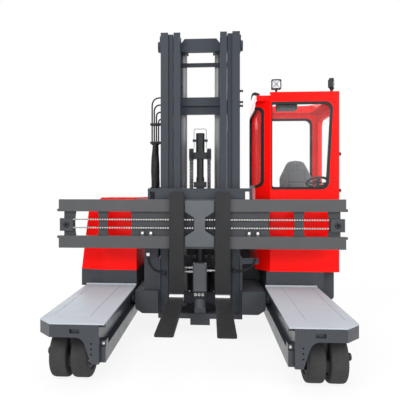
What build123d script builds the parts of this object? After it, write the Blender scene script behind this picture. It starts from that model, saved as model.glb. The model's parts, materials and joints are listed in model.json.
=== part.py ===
from build123d import *
import math
import os

# Multidirectional reach-mast forklift.
# Frame: +X across the truck towards the cab, +Y from the fork tips to the rear,
# +Z up, origin on the ground under the middle of the truck. Millimetres.
# Sizes named FRONT, REAR, BACK or END are measured from the leg noses rearwards.

# Truck layout
NOSE_Y = -1290.0
TRUCK_LENGTH = 2650.0
GAP_HALF = 697.0
LEG_WIDTH = 547.0
LEG_BOTTOM = 207.0
LEG_TOP = 509.5
SUPERSTRUCTURE_Z = 674.0
REAR_Y = NOSE_Y + TRUCK_LENGTH
LEG_OUTER = GAP_HALF + LEG_WIDTH

# Clearances, and how far a cutting shape stands past the face it cuts
PIN_CLEAR = 0.3
ROD_CLEAR = 0.5
PAD_CLEAR = 0.5
TYRE_SEAT = 0.3
MOVE_CLEAR = 6.0
CUT = 1.0

# Legs and decks
DECK_THICK = 10.0
DECK_LENGTH = 1435.0
DECK_LIP = 14.0
DECK_LIP_THICK = 8.0
DECK_GROOVE = 5.0
DECK_GROOVE_DEPTH = 3.0
DECK_GROOVE_INNER = 165.0
DECK_GROOVE_OUTER = 75.0
DECK_GROOVE_START = 190.0
DECK_GROOVE_BEND = 60.0
NOSE_CHAMFER_X = 117.0
NOSE_CHAMFER_Y = 118.0
NOSE_STEP = 45.0
ARCH_TOP = 410.0
ARCH_INNER_TOP = 868.0
ARCH_INNER_BOTTOM = 801.0
ARCH_CORNER = 80.0
POCKET_ROOF = 455.0
RAIL_MID_Z = 403.5
RAIL_DEPTH = 42.0
RAIL_END = 2000.0
RAIL_STOP_FRONT = 60.0
RAIL_STOP_LENGTH = 70.0
RAIL_STOP_HEIGHT = 46.0
NOSE_SLOT_X = 930.0
NOSE_SLOT_Z = 458.0
NOSE_SLOT_W = 80.0
NOSE_SLOT_H = 34.0
NOSE_SLOT_CORNER = 5.0
NOSE_SLOT_DEPTH = 30.0
NOSE_HOLE_X = 800.0
NOSE_HOLE_RADIUS = 7.0
NOSE_HOLE_DEPTH = 28.0
NOSE_HOLE_PITCH = 41.0
NOSE_HOLE_MID_Z = 323.0

# Front twin wheels
FRONT_WHEEL_X = 1015.0
FRONT_WHEEL_BACK = 294.0
FRONT_TYRE_RADIUS = 203.0
FRONT_TYRE_WIDTH = 137.0
FRONT_TYRE_GAP = 36.0
FRONT_TYRE_SHOULDER = 24.0
SHOULDER_STEPS = 2
TYRE_SIDES = 32
FRONT_RIM_RADIUS = 128.0
FRONT_RIM_WALL = 16.0
FRONT_RIM_INSET = 12.0
FRONT_AXLE_RADIUS = 32.0
FRONT_BOSS_RADIUS = 62.0
FRONT_POCKET_RADIUS = 263.0
KINGPIN_RADIUS = 40.0
KINGPIN_TOP = 500.0
TURNTABLE_RADIUS = 150.0
TURNTABLE_THICK = 30.0
WEB_HALF_TOP = 120.0
WEB_SIDE_GAP = 5.0
HUB_CAP_RADIUS = 46.0
HUB_CAP_DEPTH = 12.0
RIM_RECESS = 36.0

# Rear steered wheel
REAR_WHEEL_BACK = 2300.0
REAR_TYRE_RADIUS = 280.0
REAR_TYRE_WIDTH = 220.0
REAR_TYRE_SHOULDER = 45.0
REAR_RIM_RADIUS = 180.0
REAR_RIM_WALL = 20.0
REAR_RIM_INSET = 16.0
REAR_RIM_RECESS = 40.0
REAR_AXLE_RADIUS = 40.0
REAR_AXLE_END = 6.0
REAR_BOSS_RADIUS = 70.0
REAR_POCKET_RADIUS = 318.0
REAR_POCKET_ROOF = 604.0
REAR_ARM_THICK = 26.0
REAR_ARM_HALF_TOP = 140.0
REAR_TABLE_RADIUS = 190.0
REAR_TABLE_THICK = 32.0

# Rear frame and counterweight
FRAME_FRONT = 2020.0
FRAME_TOP = 660.0
FRAME_EDGE = 18.0
WEIGHT_FRONT = 2060.0
WEIGHT_TOP = 1060.0
WEIGHT_HALF = 600.0
WEIGHT_CAB_GAP = 20.0
WEIGHT_CORNER = 120.0
WEIGHT_EDGE = 40.0
TOW_PIN_RADIUS = 17.0
TOW_PIN_FOOT = 40.0
TOW_JAW_HALF = 45.0
TOW_JAW_GAP = 40.0
TOW_JAW_RISE = 100.0
TOW_JAW_DEPTH = 120.0

# Reach slide
REACH_HALF = 685.0
REACH_FRONT = 1300.0
REACH_REAR = 1940.0
REACH_FLOOR_BOTTOM = 175.0
REACH_FLOOR_TOP = 230.0
FLOOR_LEAD = 20.0
FLOOR_WINDOW_HALF = 320.0
FLOOR_WINDOW_BACK = 190.0
FLOOR_WINDOW_EDGE = 40.0
ROLLER_BOX_LAP = 10.0
ROLLER_BOX_BOTTOM = 246.0
ROLLER_BOX_TOP = 485.0
ROLLER_BOX_WALL = 18.0
ROLLER_BOX_CUT_X = 75.0
ROLLER_BOX_CUT_Z = 50.0
SIDE_PLATE_THICK = 24.0
SIDE_PLATE_TOP = 820.0
SIDE_PLATE_REAR = 60.0
SLIDE_TIE_DROP = 90.0
SLIDE_TIE_HEIGHT = 80.0
UPRIGHT_OUTER = 600.0
UPRIGHT_TOP = 950.0
ARM_OUTER = 620.0
ARM_BOTTOM = 765.0
ARM_TOP = 825.0
KEEL_HALF = 105.0
KEEL_BOTTOM = 107.0
KEEL_THICK = 30.0
REACH_ROLLER_RADIUS = 75.0
REACH_ROLLER_WIDTH = 36.0
REACH_ROLLER_INSET = 110.0
REACH_AXLE_RADIUS = 25.0
REACH_AXLE_LENGTH = 8.0
REACH_CYL_RADIUS = 45.0
REACH_CYL_END = 2600.0
REACH_CYL_CAP = 40.0
REACH_ROD_RADIUS = 24.0
REACH_ROD_END_GAP = 10.0
REACH_FLANGE_RADIUS = 44.0
REACH_FLANGE = 24.0
REACH_HEAD_GAP = 30.0

# Mast sections: three nested stages
MAST_FRONT = 1400.0
MAST_TOP = 3250.0
OUTER_HALF = 426.0
OUTER_FLANGE = 81.0
OUTER_DEPTH = 200.0
OUTER_WEB = 20.0
OUTER_LIP = 26.0
MIDDLE_FLANGE = 106.0
MIDDLE_WEB = 22.0
MIDDLE_LIP = 24.0
MIDDLE_TOP_DROP = 10.0
STAGE_GAP = 7.0
INNER_FLANGE = 73.0
INNER_WEB = 20.0
INNER_LIP = 26.0
INNER_DEPTH = 190.0
INNER_FRONT = 1405.0
STAGE_BOTTOM_STEP = 30.0
MIDDLE_STROKE = 1300.0
FREE_LIFT = 1400.0
BEAM_DEPTH = 36.0
BEAM_STEP = 10.0
BEAM_LUG = 6.0
PAD_HEIGHT = 100.0
PAD_TOP_DROP = 130.0
PAD_INSET = 20.0
HEAD_BEAM_BOTTOM = 3085.0
HEAD_BEAM_SHOULDER = 3175.0
HEAD_BEAM_TOP = 3225.0
HEAD_BEAM_SLOPE = 38.0
HEAD_BEAM_DEPTH = 60.0
TOP_SHEAVE_PLATE = 14.0
TOP_SHEAVE_WIDTH = 22.0
TOP_SHEAVE_RADIUS = 58.0
TOP_SHEAVE_Z = 3125.0
TOP_PLATE_BOTTOM = 3060.0
TOP_PLATE_TOP = 3225.0
TOP_PLATE_INSET = 40.0

# Mast cylinders, crosshead and lift chains
LIFT_CYL_X = 200.0
LIFT_CYL_RADIUS = 44.0
LIFT_CYL_GAP = 2.0
LIFT_CYL_FOOT = 100.0
LIFT_ROD_RADIUS = 26.0
LIFT_ROD_OVERLAP = 200.0
LIFT_CYL_TOP = 3090.0
LIFT_HEAD_GAP = 20.0
LIFT_HEAD_HALF = 60.0
LIFT_HEAD_THICK = 36.0
FREE_CYL_RADIUS = 44.0
FREE_CYL_TOP = 1690.0
FREE_CYL_BACK = 1487.0
FREE_CYL_FLOOR = 60.0
FREE_FOOT_HEIGHT = 40.0
FREE_FOOT_GAP = 10.0
FREE_CLAMP_HALF = 70.0
FREE_CLAMP_DEPTH = 50.0
FREE_CLAMP_BOTTOM = 1580.0
FREE_CLAMP_TOP = 1640.0
FREE_ROD_RADIUS = 38.0
FREE_ROD_OVERLAP = 100.0
SHEAVE_X = 96.0
SHEAVE_RADIUS = 66.0
SHEAVE_WIDTH = 42.0
SHEAVE_RIM = 3.0
SHEAVE_Z = 1940.0
CROSSHEAD_DROP = 50.0
CROSSHEAD_RISE = 20.0
CROSSHEAD_DEPTH = 46.0
CAP_RADIUS = 47.0
CAP_TOP = 2170.0
CAP_FLANGE_HALF = 82.0
CAP_FLANGE_DEPTH = 30.0
CAP_FLANGE_BOTTOM = 2080.0
CAP_FLANGE_TOP = 2102.0
CHAIN_WIDTH = 38.0
CHAIN_THICK = 14.0
CHAIN_FRONT_BOTTOM = 1220.0
CHAIN_REAR_BOTTOM = 700.0

# Fork carriage
BAR_HALF = 1477.0
BAR_THICK = 50.0
BAR_HEIGHT = 127.0
BAR_UPPER_TOP = 1454.0
BAR_LOWER_BOTTOM = 946.0
BAR_TONGUE = 24.0
BAR_TONGUE_THICK = 24.0
BAR_PIN = 21.0
BAR_PIN_RADIUS = 14.0
BAR_LUG_WIDTH = 36.0
BAR_LUG_HEIGHT = 52.0
BAR_LUG_INSET = 4.0
RIB_THICK = 16.0
RIB_BOW = 12.0
CARRIAGE_PLATE_GAP = 8.0
CARRIAGE_PLATE_THICK = 28.0
CARRIAGE_PLATE_REAR = 40.0
CARRIAGE_PLATE_RISE = 20.0
CARRIAGE_ROLLER_WIDTH = 44.0
CARRIAGE_ROLLER_GAP = 2.0
CARRIAGE_AXLE_RADIUS = 28.0
CARRIAGE_ROLLER_LOW = 110.0
CARRIAGE_ROLLER_HIGH = 70.0
BACK_PLATE_STEP = 20.0
BACK_PLATE_THICK = 16.0
GUARD_HALF = 470.0
GUARD_THICK = 12.0
SHELF_HALF = 544.0
SHELF_TOP = 1568.0
SHELF_THICK = 34.0
SHELF_DEPTH = 120.0
SHELF_BRACKET = 24.0
SHELF_BRACKET_FOOT = 20.0
SHELF_BRACKET_DROP = 80.0
END_BLOCK_INNER = 1326.0
END_BLOCK_OUTER = 1467.0
END_BLOCK_BOTTOM = 1122.0
END_BLOCK_TOP = 1255.0
END_BLOCK_STEP = 4.0
END_BOSS_RADIUS = 30.0
END_BOSS_BORE = 13.0
POSITIONER_Z = 1200.0
POSITIONER_PITCH_RADIUS = 43.0
POSITIONER_CHAIN = 12.0
POSITIONER_STEP = 12.0
CENTRE_PLATE_HALF = 149.0
CENTRE_PLATE_WAIST = 55.0
CENTRE_PLATE_THICK = 28.0
CENTRE_PLATE_SLOPE = 60.0
CENTRE_PLATE_LOW = 24.0
CENTRE_PLATE_HIGH = 13.0
CENTRE_PLATE_CORNER = 6.0

# Forks
FORK_X = 235.0
FORK_WIDTH = 148.0
FORK_SHANK_BACK = 1149.0
FORK_SHANK_THICK = 50.0
FORK_LENGTH = 1219.0
FORK_BLADE_TOP = 462.0
FORK_BLADE_THICK = 46.0
FORK_TIP_THICK = 14.0
FORK_TIP_CORNER = 24.0
FORK_TAPER_LENGTH = 700.0
FORK_HEEL_RADIUS = 60.0
FORK_ROOT_RADIUS = 18.0
FORK_TOP = 1528.0
FORK_HOOK_CLEAR = 0.5
FORK_HOOK_FRONT = 52.0
FORK_HOOK_REAR = 40.0

# Engine hood on the left
HOOD_OUTER = 1328.0
HOOD_FRONT = 1455.0
HOOD_REAR = 2360.0
HOOD_TOP = 1471.0
HOOD_WALL = 26.0
HOOD_WALL_SHARE = 0.4
HOOD_CREASE_X = 1065.0
HOOD_FACET_BACK = 70.0
HOOD_SHOULDER_Z = 1310.0
HOOD_SHOULDER_X = 1244.0
HOOD_TOP_X = 1090.0
HOOD_SLOTS = 6
HOOD_SLOT_RISE = 220.0
HOOD_SLOT_PITCH = 70.0
HOOD_SLOT_HEIGHT = 30.0
HOOD_SLOT_MARGIN = 110.0
HOOD_HINGE_RADIUS = 16.0
HOOD_HINGE_LENGTH = 80.0
HOOD_HINGE_GAP = 1.0
HOOD_HINGE_INSET = 90.0
HOOD_LEAF = 40.0
HOOD_SEAT = 0.3
BASE_SKIRT = 490.0
ENGINE_CLEAR = 90.0
ENGINE_SETBACK = 245.0
ENGINE_HEIGHT = 500.0

# Operator cab on the right
CAB_INNER = 609.0
CAB_OUTER = 1482.0
CAB_FRONT = 1455.0
CAB_REAR = 2360.0
CAB_WALL = 50.0
CAB_TOP = 2606.0
CAB_ROOF_BOTTOM = 2520.0
CAB_CHAMFER_X = 143.0
CAB_CHAMFER_Y = 163.0
CAB_FLOOR_TOP = 900.0
CAB_FLOOR_THICK = 40.0
CAB_BASE_STEP = 16.0
CAB_BASE_INSET = 164.0
GLASS_THICK = 6.0
WINDOW_RADIUS = 80.0
WINDOW_TIGHT_RADIUS = 20.0
FRONT_WINDOW_INSET = 12.0
FRONT_WINDOW_PILLAR = 62.0
FRONT_WINDOW_SLANT = 49.0
FRONT_WINDOW_BOTTOM = 1558.0
FRONT_WINDOW_TOP = 2500.0
SIDE_WINDOW_BOTTOM = 1580.0
SIDE_WINDOW_TOP = 2470.0
SIDE_WINDOW_REAR = 2290.0
REAR_WINDOW_BOTTOM = 1500.0
REAR_WINDOW_TOP = 2460.0
REAR_WINDOW_MARGIN = 90.0
SEAL_WIDTH = 27.0
SEAL_TIGHT_SHARE = 0.4
SEAL_PROUD = 6.0
DOOR_FRONT = 1570.0
DOOR_REAR = 2250.0
DOOR_BOTTOM = 900.0
DOOR_TOP = 2470.0
DOOR_THICK = 44.0
DOOR_STILE = 70.0
DOOR_WINDOW_BOTTOM = 1500.0
DOOR_HINGE_RADIUS = 8.0
DOOR_HINGE_HEIGHT = 90.0
DOOR_HINGE_LEAF = 60.0
DOOR_HINGE_GAP = 1.0
ROOF_WINDOW_MARGIN = 120.0
ROOF_PANE_RISE = 40.0
ROOF_EDGE = 54.0
ROOF_SETBACK = 20.0
CAB_PILLAR = 62.0

# Operator's place
SEAT_TOP = 1370.0
SEAT_BACK = 1920.0
SEAT_CUSHION = 120.0
SEAT_CORNER = 60.0
SEAT_WIDTH = 440.0
SEAT_DEPTH_FRONT = 240.0
SEAT_DEPTH_REAR = 180.0
SEAT_DOOR_GAP = 47.0
SEAT_BASE_HALF = 170.0
SEAT_BASE_FRONT = 150.0
SEAT_BASE_REAR = 230.0
SEAT_BASE_LEAN = 40.0
SEAT_BACK_TOP = 1940.0
SEAT_BACK_DROP = 60.0
SEAT_BACK_THICK = 110.0
SEAT_BACK_TOP_THICK = 80.0
SEAT_BACK_LEAN = 70.0
SEAT_SHOULDER = 70.0
SEAT_SEAM = 0.3
STEER_DOOR_GAP = 137.0
STEER_WHEEL_Z = 1640.0
STEER_WHEEL_BACK = 1640.0
STEER_WHEEL_TILT = 25.0
STEER_WHEEL_RADIUS = 115.0
STEER_RIM_RADIUS = 14.0
STEER_RIM_SIDES = 32
STEER_SPOKE_WIDTH = 26.0
STEER_SPOKE_THICK = 14.0
STEER_SHAFT_RADIUS = 22.0
STEER_SHAFT_LENGTH = 100.0
STEER_SHAFT_DROP = 48.0
COLUMN_HALF = 55.0
COLUMN_FOOT_FRONT = 120.0
COLUMN_HEAD_FRONT = 70.0
COLUMN_HEAD_REAR = 25.0
COLUMN_DROP_FRONT = 50.0
COLUMN_DROP_REAR = 70.0
COLUMN_CORNER = 10.0
RADIO_INSET = 88.0
RADIO_WIDTH = 210.0
RADIO_DEPTH = 150.0
RADIO_HEIGHT = 90.0

# Lamps and tank
LAMP_SIZE = 108.0
LAMP_DEPTH = 44.0
LAMP_CORNER = 14.0
LAMP_BEZEL = 8.0
LAMP_FINS = 5
LAMP_FIN_PITCH = 18.0
LAMP_FIN_THICK = 6.0
LAMP_FIN_DEPTH = 12.0
LAMP_FIN_SHARE = 0.7
LAMP_STALK = 42.0
LAMP_STALK_WIDTH = 24.0
LAMP_STALK_DEPTH = 30.0
LAMP_INSET_FRONT = 70.0
LAMP_INSET_LEFT = 74.0
LAMP_INSET_RIGHT = 62.0
LAMP_RIGHT_TURN = 70.0
TANK_FRONT = 1560.0
TANK_REAR = 2260.0
TANK_WIDTH = 136.0
TANK_BOTTOM = 358.0
TANK_CORNER = 35.0
STEP_BOTTOM = 500.0
STEP_HEIGHT = 120.0
STEP_DEPTH = 110.0
STEP_MARGIN = 120.0

# Hoses and manifold
HOSE_BACK = 150.0
HOSE_SLEEVE_GAP = 28.0
HOSE_SLEEVE_RADIUS = 48.0
HOSE_SLEEVE_TOP_RADIUS = 30.0
HOSE_SLEEVE_STRAIGHT = 1575.0
HOSE_SLEEVE_TOP = 2075.0
HOSE_RADIUS = 9.0
HOSE_CLAMP_DEPTH = 34.0
HOSE_CLAMP_HEIGHT = 26.0
MANIFOLD_HALF = 75.0
MANIFOLD_BOTTOM = 458.0
MANIFOLD_TOP = 776.0
MANIFOLD_CORNER = 16.0
MANIFOLD_STEP = 10.0
MOTOR_RADIUS = 60.0
MOTOR_BOTTOM = 300.0
MOTOR_FOOT_DEPTH = 35.0
MOTOR_FOOT_STEP = 15.0


def flat(points, radius=0.0, only=None):
    """Closed outline through the points; all corners, or only the numbered ones, rounded by radius."""
    face = make_face(Polyline(*points, close=True))
    if radius > 0:
        picked = points if only is None else [points[index] for index in only]
        corners = [v for v in face.vertices() if any(math.dist((v.X, v.Y), p) < 0.01 for p in picked)]
        face = fillet(corners, radius)
    return face


def along_x(face, x0, x1):
    """(y, z) outline extruded from x0 to x1."""
    return extrude(Plane.YZ.offset(x0) * face, x1 - x0, dir=(1, 0, 0))


def along_y(face, y0, y1):
    """(x, z) outline extruded from y0 to y1."""
    return extrude(Plane.XZ.offset(-y0) * face, y1 - y0, dir=(0, 1, 0))


def prism_x(points, x0, x1, radius=0.0):
    """(y, z) corner points extruded from x0 to x1."""
    return along_x(flat(points, radius), x0, x1)


def prism_y(points, y0, y1, radius=0.0):
    """(x, z) corner points extruded from y0 to y1."""
    return along_y(flat(points, radius), y0, y1)


def prism_z(points, z0, z1, radius=0.0):
    """(x, y) corner points extruded from z0 to z1."""
    return extrude(Plane.XY.offset(z0) * flat(points, radius), z1 - z0, dir=(0, 0, 1))


def block(x0, x1, y0, y1, z0, z1):
    """Box between two corners."""
    return Pos((x0 + x1) / 2, (y0 + y1) / 2, (z0 + z1) / 2) * Box(x1 - x0, y1 - y0, z1 - z0)


def rod_x(x0, x1, y, z, radius):
    """Round bar along X."""
    return Pos((x0 + x1) / 2, y, z) * Rot(0, 90, 0) * Cylinder(radius, x1 - x0)


def rod_y(x, y0, y1, z, radius):
    """Round bar along Y."""
    return Pos(x, (y0 + y1) / 2, z) * Rot(90, 0, 0) * Cylinder(radius, y1 - y0)


def rod_z(x, y, z0, z1, radius):
    """Round bar along Z."""
    return Pos(x, y, (z0 + z1) / 2) * Cylinder(radius, z1 - z0)


def other_side(shape):
    """The same piece on the other side of the truck."""
    return mirror(shape, about=Plane.YZ)


def both_sides(shape):
    """A piece and its mirror image, as solids that do not touch."""
    return Compound(children=[*shape.solids(), *other_side(shape).solids()])


def group(*shapes):
    """Solids of one body that share a node."""
    return Compound(children=[solid for shape in shapes for solid in shape.solids()])


def wheel_ring(x_mid, y, z, r_in, r_out, width, shoulder):
    """Solid tyre about X: many flats round, both shoulders along a quarter arc, bored for its rim."""
    arc = [math.radians(90 * step / SHOULDER_STEPS) for step in range(SHOULDER_STEPS + 1)]
    right = [(width / 2 - shoulder * (1 - math.cos(a)), r_out - shoulder * (1 - math.sin(a))) for a in arc]
    left = [(-x, radius) for x, radius in reversed(right)]
    flats = {"side_count": TYRE_SIDES, "major_radius": False, "rotation": 180 / TYRE_SIDES}
    sections = [Plane.YZ.offset(x) * RegularPolygon(radius, **flats) for x, radius in right + left]
    bore = extrude(Plane.YZ.offset(-width) * RegularPolygon(r_in, **flats), 2 * width)
    return Pos(x_mid, y, z) * (loft(sections, ruled=True) - bore)


nodes = {}

# Legs: one beam each side. A channel along the inner face, open at the nose,
# guides the reach slide, and a round pocket holds the steered twin wheel.
rail_half = REACH_ROLLER_RADIUS + PAD_CLEAR
rail_x = GAP_HALF + RAIL_DEPTH
wheel_y = NOSE_Y + FRONT_WHEEL_BACK
leg_plan = [
    (GAP_HALF, NOSE_Y),
    (LEG_OUTER - NOSE_CHAMFER_X, NOSE_Y),
    (LEG_OUTER, NOSE_Y + NOSE_CHAMFER_Y),
    (LEG_OUTER, REAR_Y),
    (GAP_HALF, REAR_Y),
]
leg = prism_z(leg_plan, LEG_BOTTOM, LEG_TOP)
leg -= block(
    GAP_HALF - CUT, rail_x, NOSE_Y - CUT, NOSE_Y + RAIL_END, RAIL_MID_Z - rail_half, RAIL_MID_Z + rail_half
)
leg -= block(GAP_HALF - CUT, rail_x, NOSE_Y - CUT, NOSE_Y + NOSE_STEP, LEG_BOTTOM - CUT, LEG_TOP + CUT)
leg += block(
    GAP_HALF, rail_x, NOSE_Y + RAIL_STOP_FRONT, NOSE_Y + RAIL_STOP_FRONT + RAIL_STOP_LENGTH,
    RAIL_MID_Z - rail_half, RAIL_MID_Z - rail_half + RAIL_STOP_HEIGHT,
)
leg -= rod_z(FRONT_WHEEL_X, wheel_y, LEG_BOTTOM - CUT, POCKET_ROOF, FRONT_POCKET_RADIUS)
arch = flat(
    [
        (ARCH_INNER_TOP, ARCH_TOP),
        (LEG_OUTER + CUT, ARCH_TOP),
        (LEG_OUTER + CUT, LEG_BOTTOM - CUT),
        (ARCH_INNER_BOTTOM, LEG_BOTTOM - CUT),
    ],
    ARCH_CORNER, only=[0],
)
leg -= along_y(arch, NOSE_Y - CUT, wheel_y)
leg -= block(
    FRONT_WHEEL_X, LEG_OUTER + CUT, wheel_y - CUT, wheel_y + FRONT_POCKET_RADIUS, LEG_BOTTOM - CUT, ARCH_TOP
)
leg -= rod_z(FRONT_WHEEL_X, wheel_y, POCKET_ROOF - CUT, LEG_TOP + CUT, KINGPIN_RADIUS + PIN_CLEAR)
slot = Pos(NOSE_SLOT_X, NOSE_SLOT_Z) * RectangleRounded(NOSE_SLOT_W, NOSE_SLOT_H, NOSE_SLOT_CORNER)
leg -= along_y(slot, NOSE_Y - CUT, NOSE_Y + NOSE_SLOT_DEPTH)
for row in (-1, 0, 1):
    leg -= rod_y(
        NOSE_HOLE_X, NOSE_Y - CUT, NOSE_Y + NOSE_HOLE_DEPTH,
        NOSE_HOLE_MID_Z + row * NOSE_HOLE_PITCH, NOSE_HOLE_RADIUS,
    )
nodes["legs"] = both_sides(leg)

# Deck plate on each leg, with an upturned lip at its rear edge and two seams
# along it, the outer one turning out to the edge near the nose.
deck_end = NOSE_Y + DECK_LENGTH
deck_top = LEG_TOP + DECK_THICK
deck = prism_z(
    [
        (GAP_HALF, NOSE_Y),
        (LEG_OUTER - NOSE_CHAMFER_X, NOSE_Y),
        (LEG_OUTER, NOSE_Y + NOSE_CHAMFER_Y),
        (LEG_OUTER, deck_end),
        (GAP_HALF, deck_end),
    ],
    LEG_TOP, deck_top,
)
seam_y0 = NOSE_Y + DECK_GROOVE_START
seam_y1 = deck_end - DECK_LIP_THICK
seam_z0 = deck_top - DECK_GROOVE_DEPTH
seam_z1 = deck_top + CUT
seam_half = DECK_GROOVE / 2
inner_seam_x = GAP_HALF + DECK_GROOVE_INNER
outer_seam_x = LEG_OUTER - DECK_GROOVE_OUTER
bend_x = outer_seam_x + DECK_GROOVE_BEND
bend_y = seam_y0 + DECK_GROOVE_BEND
deck -= block(inner_seam_x - seam_half, inner_seam_x + seam_half, seam_y0, seam_y1, seam_z0, seam_z1)
deck -= block(outer_seam_x - seam_half, outer_seam_x + seam_half, bend_y, seam_y1, seam_z0, seam_z1)
bend = rod_z(bend_x, bend_y, seam_z0, seam_z1, DECK_GROOVE_BEND + seam_half)
bend -= rod_z(bend_x, bend_y, seam_z0 - CUT, seam_z1 + CUT, DECK_GROOVE_BEND - seam_half)
bend &= block(outer_seam_x - DECK_GROOVE, bend_x, seam_y0 - DECK_GROOVE, bend_y, seam_z0, seam_z1)
deck -= bend
deck -= block(bend_x, LEG_OUTER + CUT, seam_y0 - seam_half, seam_y0 + seam_half, seam_z0, seam_z1)
deck += block(GAP_HALF, LEG_OUTER, seam_y1, deck_end, LEG_TOP, deck_top + DECK_LIP)
nodes["decks"] = both_sides(deck)

# Rear frame between the legs: a bridge over the rear wheel's turning circle,
# with a tunnel each side for the reach cylinders.
rear_wheel_y = NOSE_Y + REAR_WHEEL_BACK
frame_y0 = NOSE_Y + FRAME_FRONT
reach_cyl_x = (OUTER_HALF + SIDE_PLATE_THICK + REACH_HALF - ROLLER_BOX_WALL) / 2
reach_cyl_z = (ROLLER_BOX_BOTTOM + ROLLER_BOX_TOP - ROLLER_BOX_WALL) / 2
reach_cyl_y1 = NOSE_Y + REACH_CYL_END
frame = block(-GAP_HALF, GAP_HALF, frame_y0, REAR_Y, LEG_BOTTOM, FRAME_TOP)
frame = fillet([e for e in frame.edges().filter_by(Axis.X) if e.center().Y > REAR_Y - CUT], FRAME_EDGE)
frame -= rod_z(0, rear_wheel_y, LEG_BOTTOM - CUT, REAR_POCKET_ROOF, REAR_POCKET_RADIUS)
frame -= rod_z(0, rear_wheel_y, REAR_POCKET_ROOF - CUT, FRAME_TOP + CUT, KINGPIN_RADIUS + PIN_CLEAR)
for side in (-1, 1):
    frame -= rod_y(
        side * reach_cyl_x, frame_y0 - CUT, reach_cyl_y1, reach_cyl_z, REACH_CYL_RADIUS + PIN_CLEAR
    )
nodes["rear_frame"] = frame

# Counterweight casting on the rear frame, its rear corners rounded, with a tow jaw and its pin's bore.
weight_y0 = NOSE_Y + WEIGHT_FRONT
weight = block(-WEIGHT_HALF, CAB_INNER - WEIGHT_CAB_GAP, weight_y0, REAR_Y, FRAME_TOP, WEIGHT_TOP)
weight = fillet(
    [e for e in weight.edges().filter_by(Axis.Z) if e.center().Y > REAR_Y - CUT], WEIGHT_CORNER
)
weight = fillet(
    [e for e in weight.edges() if e.center().Z > WEIGHT_TOP - CUT and e.center().Y > weight_y0 + CUT],
    WEIGHT_EDGE,
)
jaw_z = FRAME_TOP + TOW_JAW_RISE
weight -= block(
    -TOW_JAW_HALF, TOW_JAW_HALF, REAR_Y - TOW_JAW_DEPTH, REAR_Y + CUT, jaw_z, jaw_z + TOW_JAW_GAP
)
weight -= rod_z(0, REAR_Y - TOW_JAW_DEPTH / 2, FRAME_TOP + TOW_PIN_FOOT, WEIGHT_TOP + CUT, TOW_PIN_RADIUS)
nodes["counterweight"] = weight

# Reach cylinders: barrels fixed in the rear frame and standing into the slide's
# boxes, rods bolted by a flange to the inside of each box's front wall.
reach_y0 = NOSE_Y + REACH_FRONT
reach_y1 = NOSE_Y + REACH_REAR
reach_rod_y0 = reach_y0 + ROLLER_BOX_WALL
reach_cyl_y0 = reach_rod_y0 + REACH_FLANGE + REACH_HEAD_GAP
barrel = rod_y(reach_cyl_x, reach_cyl_y0, reach_cyl_y1, reach_cyl_z, REACH_CYL_RADIUS)
barrel -= rod_y(
    reach_cyl_x, reach_cyl_y0 - CUT, reach_cyl_y1 - REACH_CYL_CAP, reach_cyl_z, REACH_ROD_RADIUS + ROD_CLEAR
)
nodes["reach_cylinders"] = both_sides(barrel)
reach_rod = rod_y(
    reach_cyl_x, reach_rod_y0, reach_cyl_y1 - REACH_CYL_CAP - REACH_ROD_END_GAP, reach_cyl_z, REACH_ROD_RADIUS
)
reach_rod += rod_y(reach_cyl_x, reach_rod_y0, reach_rod_y0 + REACH_FLANGE, reach_cyl_z, REACH_FLANGE_RADIUS)
nodes["reach_rods"] = both_sides(reach_rod)

# Reach slide: the mast's foot, running between the legs on four rollers.
mast_y0 = NOSE_Y + MAST_FRONT
mast_y1 = mast_y0 + OUTER_DEPTH
lead_y = mast_y0 - FLOOR_LEAD
slide_half = OUTER_HALF + SIDE_PLATE_THICK
roller_box_x0 = slide_half - ROLLER_BOX_LAP
# The cross beams of the middle and outer stages lie one behind the other.
middle_beam_y0 = NOSE_Y + INNER_FRONT + INNER_DEPTH + BEAM_STEP
middle_beam_y1 = middle_beam_y0 + BEAM_DEPTH
outer_beam_y0 = middle_beam_y1 + BEAM_STEP
outer_beam_y1 = outer_beam_y0 + BEAM_DEPTH
side_plate = prism_x(
    [
        (lead_y, REACH_FLOOR_BOTTOM),
        (reach_y1, REACH_FLOOR_BOTTOM),
        (reach_y1, ROLLER_BOX_TOP),
        (mast_y1 + SIDE_PLATE_REAR, SIDE_PLATE_TOP),
        (lead_y, SIDE_PLATE_TOP),
    ],
    OUTER_HALF, slide_half,
)
roller_box = prism_y(
    [
        (roller_box_x0, ROLLER_BOX_BOTTOM),
        (REACH_HALF - ROLLER_BOX_CUT_X, ROLLER_BOX_BOTTOM),
        (REACH_HALF, ROLLER_BOX_BOTTOM + ROLLER_BOX_CUT_Z),
        (REACH_HALF, ROLLER_BOX_TOP),
        (roller_box_x0, ROLLER_BOX_TOP),
    ],
    reach_y0, reach_y1,
)
roller_box -= block(
    slide_half, REACH_HALF - ROLLER_BOX_WALL, reach_rod_y0, reach_y1 - ROLLER_BOX_WALL,
    ROLLER_BOX_BOTTOM - CUT, ROLLER_BOX_TOP - ROLLER_BOX_WALL,
)
roller_box -= rod_y(
    reach_cyl_x, reach_y1 - ROLLER_BOX_WALL - CUT, reach_y1 + CUT, reach_cyl_z, REACH_CYL_RADIUS + MOVE_CLEAR
)
slide_side = side_plate + roller_box
axle_x1 = REACH_HALF + REACH_AXLE_LENGTH
for roller_y in (reach_y0 + REACH_ROLLER_INSET, reach_y1 - REACH_ROLLER_INSET):
    slide_side += rod_x(axle_x1, axle_x1 + REACH_ROLLER_WIDTH, roller_y, RAIL_MID_Z, REACH_ROLLER_RADIUS)
    slide_side += rod_x(REACH_HALF - CUT, axle_x1, roller_y, RAIL_MID_Z, REACH_AXLE_RADIUS)
slide = block(-slide_half, slide_half, lead_y, reach_y1, REACH_FLOOR_BOTTOM, REACH_FLOOR_TOP)
slide += slide_side
slide += other_side(slide_side)
tie_z0 = SIDE_PLATE_TOP - SLIDE_TIE_DROP
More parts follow.
